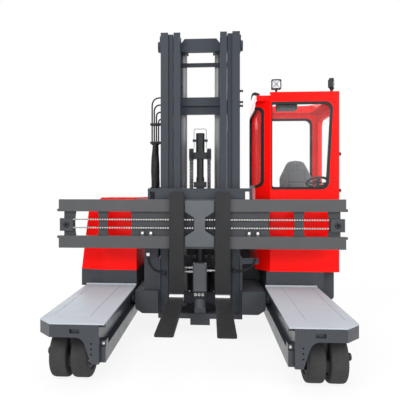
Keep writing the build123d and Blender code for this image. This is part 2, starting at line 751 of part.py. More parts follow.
slide += block(-OUTER_HALF, OUTER_HALF, outer_beam_y0, outer_beam_y1, tie_z0, tie_z0 + SLIDE_TIE_HEIGHT)
slide += block(-UPRIGHT_OUTER, -slide_half, lead_y, mast_y0, ROLLER_BOX_TOP, UPRIGHT_TOP)
slide += block(slide_half, ARM_OUTER, lead_y, mast_y0, ARM_BOTTOM, ARM_TOP)
slide += block(-KEEL_HALF, KEEL_HALF, lead_y, lead_y + KEEL_THICK, KEEL_BOTTOM, REACH_FLOOR_BOTTOM)
slide -= block(
    -FLOOR_WINDOW_HALF, FLOOR_WINDOW_HALF, mast_y1 + FLOOR_WINDOW_BACK, reach_y1 - FLOOR_WINDOW_EDGE,
    REACH_FLOOR_BOTTOM - CUT, REACH_FLOOR_TOP + CUT,
)
nodes["reach_slide"] = slide

# Outer mast: two channels open to the inside, tied behind by cross beams, with
# a hose sheave on a plate at the head of each.
outer_in = OUTER_HALF - OUTER_WEB
outer_tip = OUTER_HALF - OUTER_FLANGE
outer = block(outer_tip, OUTER_HALF, mast_y0, mast_y1, REACH_FLOOR_TOP, MAST_TOP)
outer -= block(
    outer_tip - CUT, outer_in, mast_y0 + OUTER_LIP, mast_y1 - OUTER_LIP, REACH_FLOOR_TOP - CUT, MAST_TOP + CUT
)
sheave_x0 = OUTER_HALF + TOP_SHEAVE_PLATE
outer += block(
    OUTER_HALF, sheave_x0, mast_y0 + TOP_PLATE_INSET, mast_y1 - TOP_PLATE_INSET, TOP_PLATE_BOTTOM, TOP_PLATE_TOP
)
outer += rod_x(
    sheave_x0, sheave_x0 + TOP_SHEAVE_WIDTH, (mast_y0 + mast_y1) / 2, TOP_SHEAVE_Z, TOP_SHEAVE_RADIUS
)
# Outer cross beams: bottom, top.
OUTER_BEAMS = [(960.0, 1080.0), (1300.0, 1420.0), (2950.0, 2990.0)]
outer_mast = outer + other_side(outer)
for z0, z1 in OUTER_BEAMS:
    outer_mast += block(-OUTER_HALF, OUTER_HALF, outer_beam_y0, outer_beam_y1, z0, z1)
    lug = block(outer_tip + BEAM_LUG, OUTER_HALF, mast_y1, outer_beam_y0, z0, z1)
    outer_mast += lug
    outer_mast += other_side(lug)
nodes["outer_mast"] = outer_mast

# Lift cylinders behind the cross beams, standing on the reach slide.
lift_y = outer_beam_y1 + LIFT_CYL_RADIUS + LIFT_CYL_GAP
lift_barrel = rod_z(LIFT_CYL_X, lift_y, REACH_FLOOR_TOP, LIFT_CYL_TOP, LIFT_CYL_RADIUS)
lift_barrel -= rod_z(
    LIFT_CYL_X, lift_y, REACH_FLOOR_TOP + LIFT_CYL_FOOT, LIFT_CYL_TOP + CUT, LIFT_ROD_RADIUS + ROD_CLEAR
)
nodes["lift_cylinders"] = both_sides(lift_barrel)

# Middle mast: channels running inside the outer ones on slide pads, with a head
# plate over the lift cylinders' rods.
middle_x1 = outer_in - MOVE_CLEAR
middle_x0 = middle_x1 - MIDDLE_FLANGE
middle_y0 = mast_y0 + OUTER_LIP + MOVE_CLEAR
middle_y1 = mast_y1 - OUTER_LIP - MOVE_CLEAR
stage_z0 = REACH_FLOOR_TOP + STAGE_BOTTOM_STEP
middle = block(middle_x0, middle_x1, middle_y0, middle_y1, stage_z0, MAST_TOP - MIDDLE_TOP_DROP)
middle -= block(
    middle_x0 + MIDDLE_WEB, middle_x1 + CUT, middle_y0 + MIDDLE_LIP, middle_y1 - MIDDLE_LIP,
    stage_z0 - CUT, MAST_TOP,
)
pad_heights = (stage_z0, MAST_TOP - PAD_TOP_DROP)
pad_depths = (
    (mast_y0 + OUTER_LIP + PAD_CLEAR, middle_y0),
    (middle_y1, mast_y1 - OUTER_LIP - PAD_CLEAR),
)
for pad_z in pad_heights:
    for pad_y0, pad_y1 in pad_depths:
        middle += block(outer_tip + MOVE_CLEAR, middle_x1, pad_y0, pad_y1, pad_z, pad_z + PAD_HEIGHT)
# Middle cross beams: bottom, top.
MIDDLE_BEAMS = [(700.0, 800.0), (2400.0, 2560.0), (3100.0, 3160.0)]
middle_mast = middle + other_side(middle)
middle_beam_x = outer_tip - MOVE_CLEAR
for z0, z1 in MIDDLE_BEAMS:
    middle_mast += block(-middle_beam_x, middle_beam_x, middle_beam_y0, middle_beam_y1, z0, z1)
    lug = block(middle_x0 + BEAM_LUG, middle_beam_x, middle_y1, middle_beam_y0, z0, z1)
    middle_mast += lug
    middle_mast += other_side(lug)
head_z0 = LIFT_CYL_TOP + LIFT_HEAD_GAP
head = block(
    LIFT_CYL_X - LIFT_HEAD_HALF, LIFT_CYL_X + LIFT_HEAD_HALF, middle_beam_y0, lift_y + LIFT_CYL_RADIUS,
    head_z0, head_z0 + LIFT_HEAD_THICK,
)
middle_mast += head
middle_mast += other_side(head)
nodes["middle_mast"] = middle_mast
lift_rod_z0 = LIFT_CYL_TOP - MIDDLE_STROKE - LIFT_ROD_OVERLAP
nodes["lift_rods"] = both_sides(rod_z(LIFT_CYL_X, lift_y, lift_rod_z0, head_z0, LIFT_ROD_RADIUS))

# Inner mast: channels open to the inside for the fork carriage's rollers, under
# a head beam with sloped ends.
inner_y0 = NOSE_Y + INNER_FRONT
inner_y1 = inner_y0 + INNER_DEPTH
inner_half = middle_x0 - STAGE_GAP
inner_tip = inner_half - INNER_FLANGE
inner_in = inner_half - INNER_WEB
inner = block(inner_tip, inner_half, inner_y0, inner_y1, stage_z0, MAST_TOP)
inner -= block(
    inner_tip - CUT, inner_in, inner_y0 + INNER_LIP, inner_y1 - INNER_LIP, stage_z0 - CUT, MAST_TOP + CUT
)
for pad_z in pad_heights:
    inner += block(
        inner_half, middle_x0 - PAD_CLEAR, middle_y0 + PAD_INSET, middle_y1 - PAD_INSET,
        pad_z, pad_z + PAD_HEIGHT,
    )
# Inner cross beams: bottom, top, depth forward of the channels' rear face.
INNER_BEAMS = [(300.0, 420.0, 44.0), (2490.0, 2585.0, 20.0)]
inner_mast = inner + other_side(inner)
for z0, z1, depth in INNER_BEAMS:
    inner_mast += block(-inner_tip, inner_tip, inner_y1 - depth, inner_y1, z0, z1)
inner_mast += prism_y(
    [
        (-inner_tip, HEAD_BEAM_BOTTOM),
        (inner_tip, HEAD_BEAM_BOTTOM),
        (inner_tip, HEAD_BEAM_SHOULDER),
        (inner_tip - HEAD_BEAM_SLOPE, HEAD_BEAM_TOP),
        (HEAD_BEAM_SLOPE - inner_tip, HEAD_BEAM_TOP),
        (-inner_tip, HEAD_BEAM_SHOULDER),
    ],
    inner_y1 - HEAD_BEAM_DEPTH, inner_y1,
)
nodes["inner_mast"] = inner_mast

# Free-lift cylinder in the middle of the inner mast, on a foot from its lowest beam.
free_y = NOSE_Y + FREE_CYL_BACK
foot_z = INNER_BEAMS[0][1]
free_barrel = rod_z(0, free_y, foot_z, FREE_CYL_TOP, FREE_CYL_RADIUS)
free_barrel += block(
    -FREE_CLAMP_HALF, FREE_CLAMP_HALF, free_y - FREE_CLAMP_DEPTH, free_y + FREE_CLAMP_DEPTH,
    FREE_CLAMP_BOTTOM, FREE_CLAMP_TOP,
)
free_barrel += block(
    -FREE_CLAMP_HALF, FREE_CLAMP_HALF, free_y - FREE_CLAMP_DEPTH, inner_y1 - FREE_FOOT_GAP,
    foot_z, foot_z + FREE_FOOT_HEIGHT,
)
free_barrel -= rod_z(0, free_y, foot_z + FREE_CYL_FLOOR, FREE_CYL_TOP + CUT, FREE_ROD_RADIUS + ROD_CLEAR)
nodes["free_lift_cylinder"] = free_barrel

# Crosshead on the free-lift rod, with a chain sheave at each side and a flanged cap.
head_half = SHEAVE_X - SHEAVE_WIDTH / 2 - SHEAVE_RIM
crosshead_z0 = SHEAVE_Z - CROSSHEAD_DROP
crosshead_z1 = SHEAVE_Z + CROSSHEAD_RISE
crosshead = block(
    -head_half, head_half, free_y - CROSSHEAD_DEPTH, free_y + CROSSHEAD_DEPTH, crosshead_z0, crosshead_z1
)
crosshead += rod_z(0, free_y, crosshead_z1, CAP_TOP, CAP_RADIUS)
crosshead += block(
    -CAP_FLANGE_HALF, CAP_FLANGE_HALF, free_y - CAP_FLANGE_DEPTH, free_y + CAP_FLANGE_DEPTH,
    CAP_FLANGE_BOTTOM, CAP_FLANGE_TOP,
)
free_rod_z0 = FREE_CYL_TOP - FREE_LIFT / 2 - FREE_ROD_OVERLAP
crosshead += rod_z(0, free_y, free_rod_z0, crosshead_z0, FREE_ROD_RADIUS)
sheave = rod_x(
    SHEAVE_X - SHEAVE_WIDTH / 2, SHEAVE_X + SHEAVE_WIDTH / 2, free_y, SHEAVE_Z, SHEAVE_RADIUS - CHAIN_THICK
)
for rim_x in (head_half, SHEAVE_X + SHEAVE_WIDTH / 2):
    sheave += rod_x(rim_x, rim_x + SHEAVE_RIM, free_y, SHEAVE_Z, SHEAVE_RADIUS)
crosshead += sheave
crosshead += other_side(sheave)
nodes["lift_crosshead"] = crosshead

# Lift chain over each sheave: front run to the carriage, rear run to the foot.
chain_x0 = SHEAVE_X - CHAIN_WIDTH / 2
chain_x1 = SHEAVE_X + CHAIN_WIDTH / 2
chain_in = SHEAVE_RADIUS - CHAIN_THICK + PIN_CLEAR
chain_out = SHEAVE_RADIUS + PIN_CLEAR
chain = rod_x(chain_x0, chain_x1, free_y, SHEAVE_Z, chain_out)
chain -= rod_x(chain_x0 - CUT, chain_x1 + CUT, free_y, SHEAVE_Z, chain_in)
chain &= block(chain_x0, chain_x1, free_y - chain_out, free_y + chain_out, SHEAVE_Z, SHEAVE_Z + chain_out)
chain += block(chain_x0, chain_x1, free_y - chain_out, free_y - chain_in, CHAIN_FRONT_BOTTOM, SHEAVE_Z)
chain += block(chain_x0, chain_x1, free_y + chain_in, free_y + chain_out, CHAIN_REAR_BOTTOM, SHEAVE_Z)
nodes["lift_chains"] = both_sides(chain)

# Fork carriage: two hook bars with end pins, and lugs standing on the lower one.
shank_y0 = NOSE_Y + FORK_SHANK_BACK
shank_y1 = shank_y0 + FORK_SHANK_THICK
bar_y0 = shank_y1 + FORK_HOOK_CLEAR
bar_y1 = bar_y0 + BAR_THICK
bar_mid_y = (bar_y0 + bar_y1) / 2
tongue_y1 = bar_y0 + BAR_TONGUE_THICK
rib_y0 = bar_y1 - RIB_THICK
lower_top = BAR_LOWER_BOTTOM + BAR_HEIGHT
upper_bottom = BAR_UPPER_TOP - BAR_HEIGHT
tongue_low = BAR_LOWER_BOTTOM + BAR_TONGUE
tongue_high = BAR_UPPER_TOP - BAR_TONGUE
upper_bar = prism_x(
    [
        (bar_y0, upper_bottom),
        (bar_y1, upper_bottom),
        (bar_y1, tongue_high),
        (tongue_y1, tongue_high),
        (tongue_y1, BAR_UPPER_TOP),
        (bar_y0, BAR_UPPER_TOP),
    ],
    -BAR_HALF, BAR_HALF,
)
lower_bar = prism_x(
    [
        (bar_y0, lower_top),
        (bar_y1, lower_top),
        (bar_y1, tongue_low),
        (tongue_y1, tongue_low),
        (tongue_y1, BAR_LOWER_BOTTOM),
        (bar_y0, BAR_LOWER_BOTTOM),
    ],
    -BAR_HALF, BAR_HALF,
)
upper_pin = rod_x(BAR_HALF, BAR_HALF + BAR_PIN, bar_mid_y, upper_bottom + BAR_PIN_RADIUS, BAR_PIN_RADIUS)
lower_pin = rod_x(BAR_HALF, BAR_HALF + BAR_PIN, bar_mid_y, lower_top - BAR_PIN_RADIUS, BAR_PIN_RADIUS)
upper_bar += upper_pin
upper_bar += other_side(upper_pin)
lower_bar += lower_pin
lower_bar += other_side(lower_pin)
# Lugs on the lower bar: middle of each.
BAR_LUGS = [506.0, 594.0]
for lug_x in BAR_LUGS:
    lug = block(
        lug_x - BAR_LUG_WIDTH / 2, lug_x + BAR_LUG_WIDTH / 2, bar_y0 + BAR_LUG_INSET, rib_y0 - PIN_CLEAR,
        lower_top, lower_top + BAR_LUG_HEIGHT,
    )
    lower_bar += lug
    lower_bar += other_side(lug)
nodes["fork_bars"] = group(upper_bar, lower_bar)

# Ribs between the bars, each side waisted by the bow of the openings.
# Ribs: inner x, outer x, bow of the inner side, bow of the outer side.
RIBS = [
    (165.0, 723.0, 0.0, RIB_BOW),
    (957.0, 1071.0, RIB_BOW, RIB_BOW),
    (1303.0, 1430.0, RIB_BOW, 0.0),
]
rib_mid_z = (lower_top + upper_bottom) / 2
ribs = []
for x0, x1, bow_in, bow_out in RIBS:
    rib = block(x0, x1, rib_y0, bar_y1, lower_top, upper_bottom)
    for edge_x, bow in ((x0, bow_in), (x1, -bow_out)):
        if bow:
            bulge = make_face(
                Line((edge_x, upper_bottom), (edge_x, lower_top))
                + ThreePointArc((edge_x, lower_top), (edge_x + bow, rib_mid_z), (edge_x, upper_bottom))
            )
            rib -= along_y(bulge, rib_y0 - CUT, bar_y1 + CUT)
    ribs.append(rib)
nodes["carriage_ribs"] = both_sides(group(*ribs))

# Carriage frame: roller plates running in the inner mast, the load shelf on its
# brackets, the guard plate under it and a set-back plate in the middle.
plate_x1 = inner_tip - CARRIAGE_PLATE_GAP
plate_x0 = plate_x1 - CARRIAGE_PLATE_THICK
shelf_z0 = SHELF_TOP - SHELF_THICK
carriage_plate = prism_x(
    [
        (bar_y1, tongue_low),
        (inner_y1 - CARRIAGE_PLATE_REAR, tongue_low),
        (inner_y1 - CARRIAGE_PLATE_REAR, BAR_UPPER_TOP + CARRIAGE_PLATE_RISE),
        (bar_y1 + SHELF_DEPTH, shelf_z0),
        (bar_y1, shelf_z0),
    ],
    plate_x0, plate_x1,
)
roller_radius = (INNER_DEPTH - 2 * INNER_LIP) / 2 - PAD_CLEAR
roller_mid = (inner_y0 + inner_y1) / 2
roller_x0 = inner_tip - CARRIAGE_ROLLER_GAP
for roller_z in (BAR_LOWER_BOTTOM + CARRIAGE_ROLLER_LOW, BAR_UPPER_TOP - CARRIAGE_ROLLER_HIGH):
    carriage_plate += rod_x(roller_x0, roller_x0 + CARRIAGE_ROLLER_WIDTH, roller_mid, roller_z, roller_radius)
    carriage_plate += rod_x(plate_x1, roller_x0, roller_mid, roller_z, CARRIAGE_AXLE_RADIUS)
carriage_plate += prism_x(
    [
        (bar_y1, BAR_UPPER_TOP - SHELF_BRACKET_DROP),
        (bar_y1 + SHELF_BRACKET_FOOT, BAR_UPPER_TOP - SHELF_BRACKET_DROP),
        (bar_y1 + SHELF_DEPTH, shelf_z0),
        (bar_y1, shelf_z0),
    ],
    SHELF_HALF - SHELF_BRACKET, SHELF_HALF,
)
carriage = block(-SHELF_HALF, SHELF_HALF, bar_y1, bar_y1 + SHELF_DEPTH, shelf_z0, SHELF_TOP)
carriage += carriage_plate
carriage += other_side(carriage_plate)
carriage += block(-GUARD_HALF, GUARD_HALF, bar_y1, bar_y1 + GUARD_THICK, tongue_high - GUARD_THICK, shelf_z0)
back_y0 = bar_y1 + BACK_PLATE_STEP
carriage += block(-plate_x0, plate_x0, back_y0, back_y0 + BACK_PLATE_THICK, tongue_low, tongue_high)
nodes["carriage_frame"] = carriage

# Fork positioner: an end block with its bored sprocket boss at each side, and the chain between.
block_y0 = bar_y0 + END_BLOCK_STEP
boss_x = (END_BLOCK_INNER + END_BLOCK_OUTER) / 2
boss_z = (END_BLOCK_BOTTOM + END_BLOCK_TOP) / 2
end_block = block(END_BLOCK_INNER, END_BLOCK_OUTER, block_y0, rib_y0, END_BLOCK_BOTTOM, END_BLOCK_TOP)
end_block += rod_y(boss_x, bar_y0, block_y0, boss_z, END_BOSS_RADIUS)
end_block -= rod_y(boss_x, bar_y0 - CUT, rib_y0 - END_BLOCK_STEP, boss_z, END_BOSS_BORE)
fork_positioner = end_block + other_side(end_block)
chain_y0 = bar_y0 + POSITIONER_STEP
for run in (-1, 1):
    run_z = POSITIONER_Z + run * POSITIONER_PITCH_RADIUS
    fork_positioner += block(
        -END_BLOCK_INNER, END_BLOCK_INNER, chain_y0, chain_y0 + POSITIONER_CHAIN,
        run_z - POSITIONER_CHAIN / 2, run_z + POSITIONER_CHAIN / 2,
    )
nodes["fork_positioner"] = fork_positioner

# Centre plate on the bars, waisted between them.
plate_z0 = BAR_LOWER_BOTTOM + CENTRE_PLATE_LOW
plate_z1 = BAR_UPPER_TOP - CENTRE_PLATE_HIGH
plate_edge = [
    (CENTRE_PLATE_HALF, plate_z0),
    (CENTRE_PLATE_HALF, lower_top),
    (CENTRE_PLATE_WAIST, lower_top + CENTRE_PLATE_SLOPE),
    (CENTRE_PLATE_WAIST, upper_bottom - CENTRE_PLATE_SLOPE),
    (CENTRE_PLATE_HALF, upper_bottom),
    (CENTRE_PLATE_HALF, plate_z1),
]
nodes["centre_plate"] = prism_y(
    plate_edge + [(-x, z) for x, z in reversed(plate_edge)],
    bar_y0 - CENTRE_PLATE_THICK, bar_y0, CENTRE_PLATE_CORNER,
)

# Forks: bent heel, blade thinning to the tip, hooks over both bars.
tip_y = shank_y0 - FORK_LENGTH
blade_bottom = FORK_BLADE_TOP - FORK_BLADE_THICK
fork_x0 = FORK_X - FORK_WIDTH / 2
fork_x1 = FORK_X + FORK_WIDTH / 2
fork_points = [
    (shank_y1, blade_bottom),
    (shank_y1, FORK_TOP),
    (shank_y0, FORK_TOP),
    (shank_y0, FORK_BLADE_TOP),
    (tip_y, FORK_BLADE_TOP),
    (tip_y, FORK_BLADE_TOP - FORK_TIP_THICK),
    (tip_y + FORK_TAPER_LENGTH, blade_bottom),
]
fork_side = flat(fork_points, FORK_HEEL_RADIUS, only=[0])
root = [v for v in fork_side.vertices() if math.dist((v.X, v.Y), fork_points[3]) < CUT]
fork = along_x(fillet(root, FORK_ROOT_RADIUS), fork_x0, fork_x1)
tip_edges = [e for e in fork.edges().filter_by(Axis.Z) if e.center().Y < tip_y + CUT]
fork = fillet(tip_edges, FORK_TIP_CORNER)
hook_in = tongue_y1 + FORK_HOOK_CLEAR
hook_out = bar_y1 - MOVE_CLEAR
for hook_z, step in ((BAR_UPPER_TOP, 1), (BAR_LOWER_BOTTOM, -1)):
    seat = hook_z + step * FORK_HOOK_CLEAR
    lip = hook_z - step * (BAR_TONGUE - FORK_HOOK_CLEAR)
    fork += prism_x(
        [
            (shank_y1, seat),
            (hook_in, seat),
            (hook_in, lip),
            (hook_out, lip),
            (hook_out, seat + step * FORK_HOOK_REAR),
            (shank_y1, seat + step * FORK_HOOK_FRONT),
        ],
        fork_x0, fork_x1,
    )
nodes["fork_right"] = fork
nodes["fork_left"] = other_side(fork)

# Front twin wheels: knuckle with a turntable and a centre web, wheels on one axle.
axle_z = FRONT_TYRE_RADIUS
web_x0 = FRONT_WHEEL_X - FRONT_TYRE_GAP / 2 + WEB_SIDE_GAP
web_x1 = FRONT_WHEEL_X + FRONT_TYRE_GAP / 2 - WEB_SIDE_GAP
table_top = POCKET_ROOF - PIN_CLEAR
table_bottom = table_top - TURNTABLE_THICK
knuckle = rod_z(FRONT_WHEEL_X, wheel_y, table_bottom, table_top, TURNTABLE_RADIUS)
knuckle += rod_z(FRONT_WHEEL_X, wheel_y, table_top, KINGPIN_TOP, KINGPIN_RADIUS)
knuckle += prism_x(
    [
        (wheel_y - WEB_HALF_TOP, table_bottom),
        (wheel_y + WEB_HALF_TOP, table_bottom),
        (wheel_y + FRONT_BOSS_RADIUS, axle_z),
        (wheel_y - FRONT_BOSS_RADIUS, axle_z),
    ],
    web_x0, web_x1,
)
knuckle += rod_x(web_x0, web_x1, wheel_y, axle_z, FRONT_BOSS_RADIUS)
knuckle -= rod_x(web_x0 - CUT, web_x1 + CUT, wheel_y, axle_z, FRONT_AXLE_RADIUS + PIN_CLEAR)
nodes["front_right_knuckle"] = knuckle
nodes["front_left_knuckle"] = other_side(knuckle)

tyre_mid = FRONT_TYRE_GAP / 2 + FRONT_TYRE_WIDTH / 2
rim_half = FRONT_TYRE_WIDTH / 2 - FRONT_RIM_INSET
hub = rod_x(FRONT_WHEEL_X - tyre_mid, FRONT_WHEEL_X + tyre_mid, wheel_y, axle_z, FRONT_AXLE_RADIUS)
tyres = []
for side in (-1, 1):
    mid = FRONT_WHEEL_X + side * tyre_mid
    rim = rod_x(mid - rim_half, mid + rim_half, wheel_y, axle_z, FRONT_RIM_RADIUS)
    face_x = mid + side * (rim_half - RIM_RECESS)
    edge_x = mid + side * (rim_half + CUT)
    cap_x = mid + side * (rim_half + HUB_CAP_DEPTH)
    rim -= rod_x(
        min(face_x, edge_x), max(face_x, edge_x), wheel_y, axle_z, FRONT_RIM_RADIUS - FRONT_RIM_WALL
    )
    rim += rod_x(min(face_x, cap_x), max(face_x, cap_x), wheel_y, axle_z, HUB_CAP_RADIUS)
    hub += rim
    tyres.append(
        wheel_ring(
            mid, wheel_y, axle_z, FRONT_RIM_RADIUS + TYRE_SEAT,
            FRONT_TYRE_RADIUS, FRONT_TYRE_WIDTH, FRONT_TYRE_SHOULDER,
        )
    )
nodes["front_right_hub"] = hub
nodes["front_left_hub"] = other_side(hub)
nodes["front_right_tyres"] = group(*tyres)
nodes["front_left_tyres"] = other_side(group(*tyres))

# Rear wheel: a steered yoke with an arm at each side.
rear_z = REAR_TYRE_RADIUS
arm_x0 = REAR_TYRE_WIDTH / 2 + MOVE_CLEAR
arm_x1 = arm_x0 + REAR_ARM_THICK
rear_table_top = REAR_POCKET_ROOF - PIN_CLEAR
rear_table_bottom = rear_table_top - REAR_TABLE_THICK
arm = prism_x(
    [
        (rear_wheel_y - REAR_ARM_HALF_TOP, rear_table_bottom),
        (rear_wheel_y + REAR_ARM_HALF_TOP, rear_table_bottom),
        (rear_wheel_y + REAR_BOSS_RADIUS, rear_z),
        (rear_wheel_y - REAR_BOSS_RADIUS, rear_z),
    ],
    arm_x0, arm_x1,
)
arm += rod_x(arm_x0, arm_x1, rear_wheel_y, rear_z, REAR_BOSS_RADIUS)
arm -= rod_x(arm_x0 - CUT, arm_x1 + CUT, rear_wheel_y, rear_z, REAR_AXLE_RADIUS + PIN_CLEAR)
yoke = rod_z(0, rear_wheel_y, rear_table_bottom, rear_table_top, REAR_TABLE_RADIUS)
yoke += rod_z(0, rear_wheel_y, rear_table_top, FRAME_TOP - CUT, KINGPIN_RADIUS)
yoke += arm
yoke += other_side(arm)
nodes["rear_yoke"] = yoke
rear_rim_half = REAR_TYRE_WIDTH / 2 - REAR_RIM_INSET
rear_face = rear_rim_half - REAR_RIM_RECESS
rear_hub = rod_x(-rear_rim_half, rear_rim_half, rear_wheel_y, rear_z, REAR_RIM_RADIUS)
recess = rod_x(rear_face, rear_rim_half + CUT, rear_wheel_y, rear_z, REAR_RIM_RADIUS - REAR_RIM_WALL)
rear_hub -= recess
rear_hub -= other_side(recess)
rear_hub += rod_x(-arm_x1 - REAR_AXLE_END, arm_x1 + REAR_AXLE_END, rear_wheel_y, rear_z, REAR_AXLE_RADIUS)
nodes["rear_hub"] = rear_hub
nodes["rear_tyre"] = wheel_ring(
    0, rear_wheel_y, rear_z, REAR_RIM_RADIUS + TYRE_SEAT,
    REAR_TYRE_RADIUS, REAR_TYRE_WIDTH, REAR_TYRE_SHOULDER,
)

# Engine side on the left: grey base, plain engine block and the hinged red hood.
hood_y0 = NOSE_Y + HOOD_FRONT
hood_y1 = NOSE_Y + HOOD_REAR


def hood_outline(wall):
    """Hood section seen from the front, drawn in by the wall: bottom, sides, shoulder, top."""
    return [
        (-GAP_HALF - wall, SUPERSTRUCTURE_Z),
        (-GAP_HALF - wall, HOOD_TOP - wall),
        (-HOOD_TOP_X + wall * HOOD_WALL_SHARE, HOOD_TOP - wall),
        (-HOOD_SHOULDER_X + wall, HOOD_SHOULDER_Z - wall * HOOD_WALL_SHARE),
        (-HOOD_OUTER + wall, SUPERSTRUCTURE_Z),
    ]


def hood_facet(wall):
    """Wedge that slants the front of hood and base back, outboard of the crease."""
    return prism_z(
        [
            (-HOOD_CREASE_X, hood_y0 + wall),
            (-HOOD_OUTER - CUT, hood_y0 + wall + HOOD_FACET_BACK),
            (-HOOD_OUTER - CUT, hood_y0 - CUT),
            (-HOOD_CREASE_X, hood_y0 - CUT),
        ],
        BASE_SKIRT - CUT, HOOD_TOP + CUT,
    )


base_top = SUPERSTRUCTURE_Z - HOOD_SEAT
engine_base = prism_y(
    [
        (-GAP_HALF, LEG_TOP),
        (-GAP_HALF, base_top),
        (-HOOD_OUTER, base_top),
        (-HOOD_OUTER, BASE_SKIRT),
        (-LEG_OUTER, BASE_SKIRT),
        (-LEG_OUTER, LEG_TOP),
    ],
    hood_y0, hood_y1,
)
engine_base -= hood_facet(0.0)
hood = prism_y(hood_outline(0.0), hood_y0, hood_y1) - hood_facet(0.0)
hood -= prism_y(hood_outline(HOOD_WALL), hood_y0 + HOOD_WALL, hood_y1 - HOOD_WALL) - hood_facet(HOOD_WALL)
# Air slots in the hood's rear wall.
for row in range(HOOD_SLOTS):
    slot_z = SUPERSTRUCTURE_Z + HOOD_SLOT_RISE + row * HOOD_SLOT_PITCH
    hood -= block(
        -HOOD_SHOULDER_X + HOOD_SLOT_MARGIN, -GAP_HALF - HOOD_SLOT_MARGIN,
        hood_y1 - HOOD_WALL - CUT, hood_y1 + CUT, slot_z, slot_z + HOOD_SLOT_HEIGHT,
    )
# Hood hinges along the lower rear edge: the hood's knuckle between two on the base.
hinge_mid_y = hood_y1 + HOOD_HINGE_RADIUS + PIN_CLEAR
for hood_hinge_x in (-HOOD_SHOULDER_X + HOOD_HINGE_INSET, -GAP_HALF - HOOD_HINGE_INSET):
    knuckle_x1 = hood_hinge_x + HOOD_HINGE_LENGTH / 2
    hood += rod_x(hood_hinge_x, knuckle_x1, hinge_mid_y, SUPERSTRUCTURE_Z, HOOD_HINGE_RADIUS)
    hood += block(
        hood_hinge_x, knuckle_x1, hood_y1, hinge_mid_y, SUPERSTRUCTURE_Z, SUPERSTRUCTURE_Z + HOOD_LEAF
    )
    for end_x in (hood_hinge_x - HOOD_HINGE_LENGTH / 2, knuckle_x1 + HOOD_HINGE_GAP):
        end_x1 = end_x + HOOD_HINGE_LENGTH / 2 - HOOD_HINGE_GAP
        engine_base += rod_x(end_x, end_x1, hinge_mid_y, SUPERSTRUCTURE_Z, HOOD_HINGE_RADIUS)
        engine_base += block(end_x, end_x1, hood_y1, hinge_mid_y, SUPERSTRUCTURE_Z - HOOD_LEAF, base_top)
nodes["engine_hood"] = hood
nodes["engine_block"] = block(
    -HOOD_SHOULDER_X + ENGINE_CLEAR, -GAP_HALF - ENGINE_CLEAR,
    hood_y0 + ENGINE_SETBACK, hood_y1 - ENGINE_CLEAR, base_top, SUPERSTRUCTURE_Z + ENGINE_HEIGHT,
)

# Operator cab on the right, on its own base.
cab_y0 = NOSE_Y + CAB_FRONT
cab_y1 = NOSE_Y + CAB_REAR
corner_x = CAB_INNER + CAB_CHAMFER_X
corner_y = cab_y0 + CAB_CHAMFER_Y
front_in = cab_y0 + CAB_WALL
rear_in = cab_y1 - CAB_WALL
frame_x0 = CAB_OUTER - CAB_WALL
rear_x0 = CAB_INNER + CAB_WALL
cab_base_x = CAB_OUTER - CAB_BASE_INSET
cab_base = prism_y(
    [
        (GAP_HALF + CAB_BASE_STEP, LEG_TOP),
        (LEG_OUTER, LEG_TOP),
        (LEG_OUTER, BASE_SKIRT),
        (cab_base_x, BASE_SKIRT),
        (cab_base_x, SUPERSTRUCTURE_Z),
        (GAP_HALF + CAB_BASE_STEP, SUPERSTRUCTURE_Z),
    ],
    cab_y0, cab_y1,
)
nodes["superstructure_bases"] = group(engine_base, cab_base)


def front_opening(inset, y0, y1):
    """Front window drawn in by the inset: tight corners by the mast, wide ones at the slanted outer side."""
    left = corner_x + FRONT_WINDOW_INSET + inset * SEAL_TIGHT_SHARE
    right = CAB_OUTER - FRONT_WINDOW_PILLAR - inset
    points = [
        (left, FRONT_WINDOW_BOTTOM + inset),
        (right - FRONT_WINDOW_SLANT, FRONT_WINDOW_BOTTOM + inset),
        (right, FRONT_WINDOW_TOP - inset),
        (left, FRONT_WINDOW_TOP - inset),
    ]
    outline = flat(points, WINDOW_RADIUS - inset / 2, only=[1, 2])
    tight = [v for v in outline.vertices() if abs(v.X - left) < CUT]
    return along_y(fillet(tight, WINDOW_TIGHT_RADIUS), y0, y1)


def rear_opening(inset, y0, y1):
    """Rear window drawn in by the inset."""
    margin = REAR_WINDOW_MARGIN + inset
    points = [
        (rear_x0 + margin, REAR_WINDOW_BOTTOM + inset),
        (CAB_OUTER - margin, REAR_WINDOW_BOTTOM + inset),
        (CAB_OUTER - margin, REAR_WINDOW_TOP - inset),
        (rear_x0 + margin, REAR_WINDOW_TOP - inset),
    ]
    return prism_y(points, y0, y1, WINDOW_RADIUS - inset / 2)


def side_opening(inset):
    """Mast-side window drawn in by the inset, through the side wall and the slanted corner."""
    y0 = cab_y0 + CAB_PILLAR + inset
    y1 = NOSE_Y + SIDE_WINDOW_REAR - inset
    z0 = SIDE_WINDOW_BOTTOM + inset
    z1 = SIDE_WINDOW_TOP - inset
    points = [(y0, z0), (y1, z0), (y1, z1), (y0, z1)]
    return prism_x(points, CAB_INNER - CAB_WALL, corner_x + CAB_WALL, WINDOW_RADIUS - inset / 2)


slope = math.hypot(CAB_CHAMFER_X, CAB_CHAMFER_Y)
turn = math.atan2(CAB_CHAMFER_X, CAB_CHAMFER_Y)


def side_wall(depth_out, depth_in, z0, z1):
    """Sheet that follows the slanted corner and the side wall, between two depths and two heights."""
    outline = [
        (corner_x, cab_y0 + depth_out * slope / CAB_CHAMFER_X),
        (corner_x, cab_y0 + depth_in * slope / CAB_CHAMFER_X),
        (CAB_INNER + depth_in, corner_y + depth_in * math.tan(turn / 2)),
        (CAB_INNER + depth_in, cab_y1),
        (CAB_INNER + depth_out, cab_y1),
        (CAB_INNER + depth_out, corner_y + depth_out * math.tan(turn / 2)),
    ]
    return prism_z(outline, z0, z1)


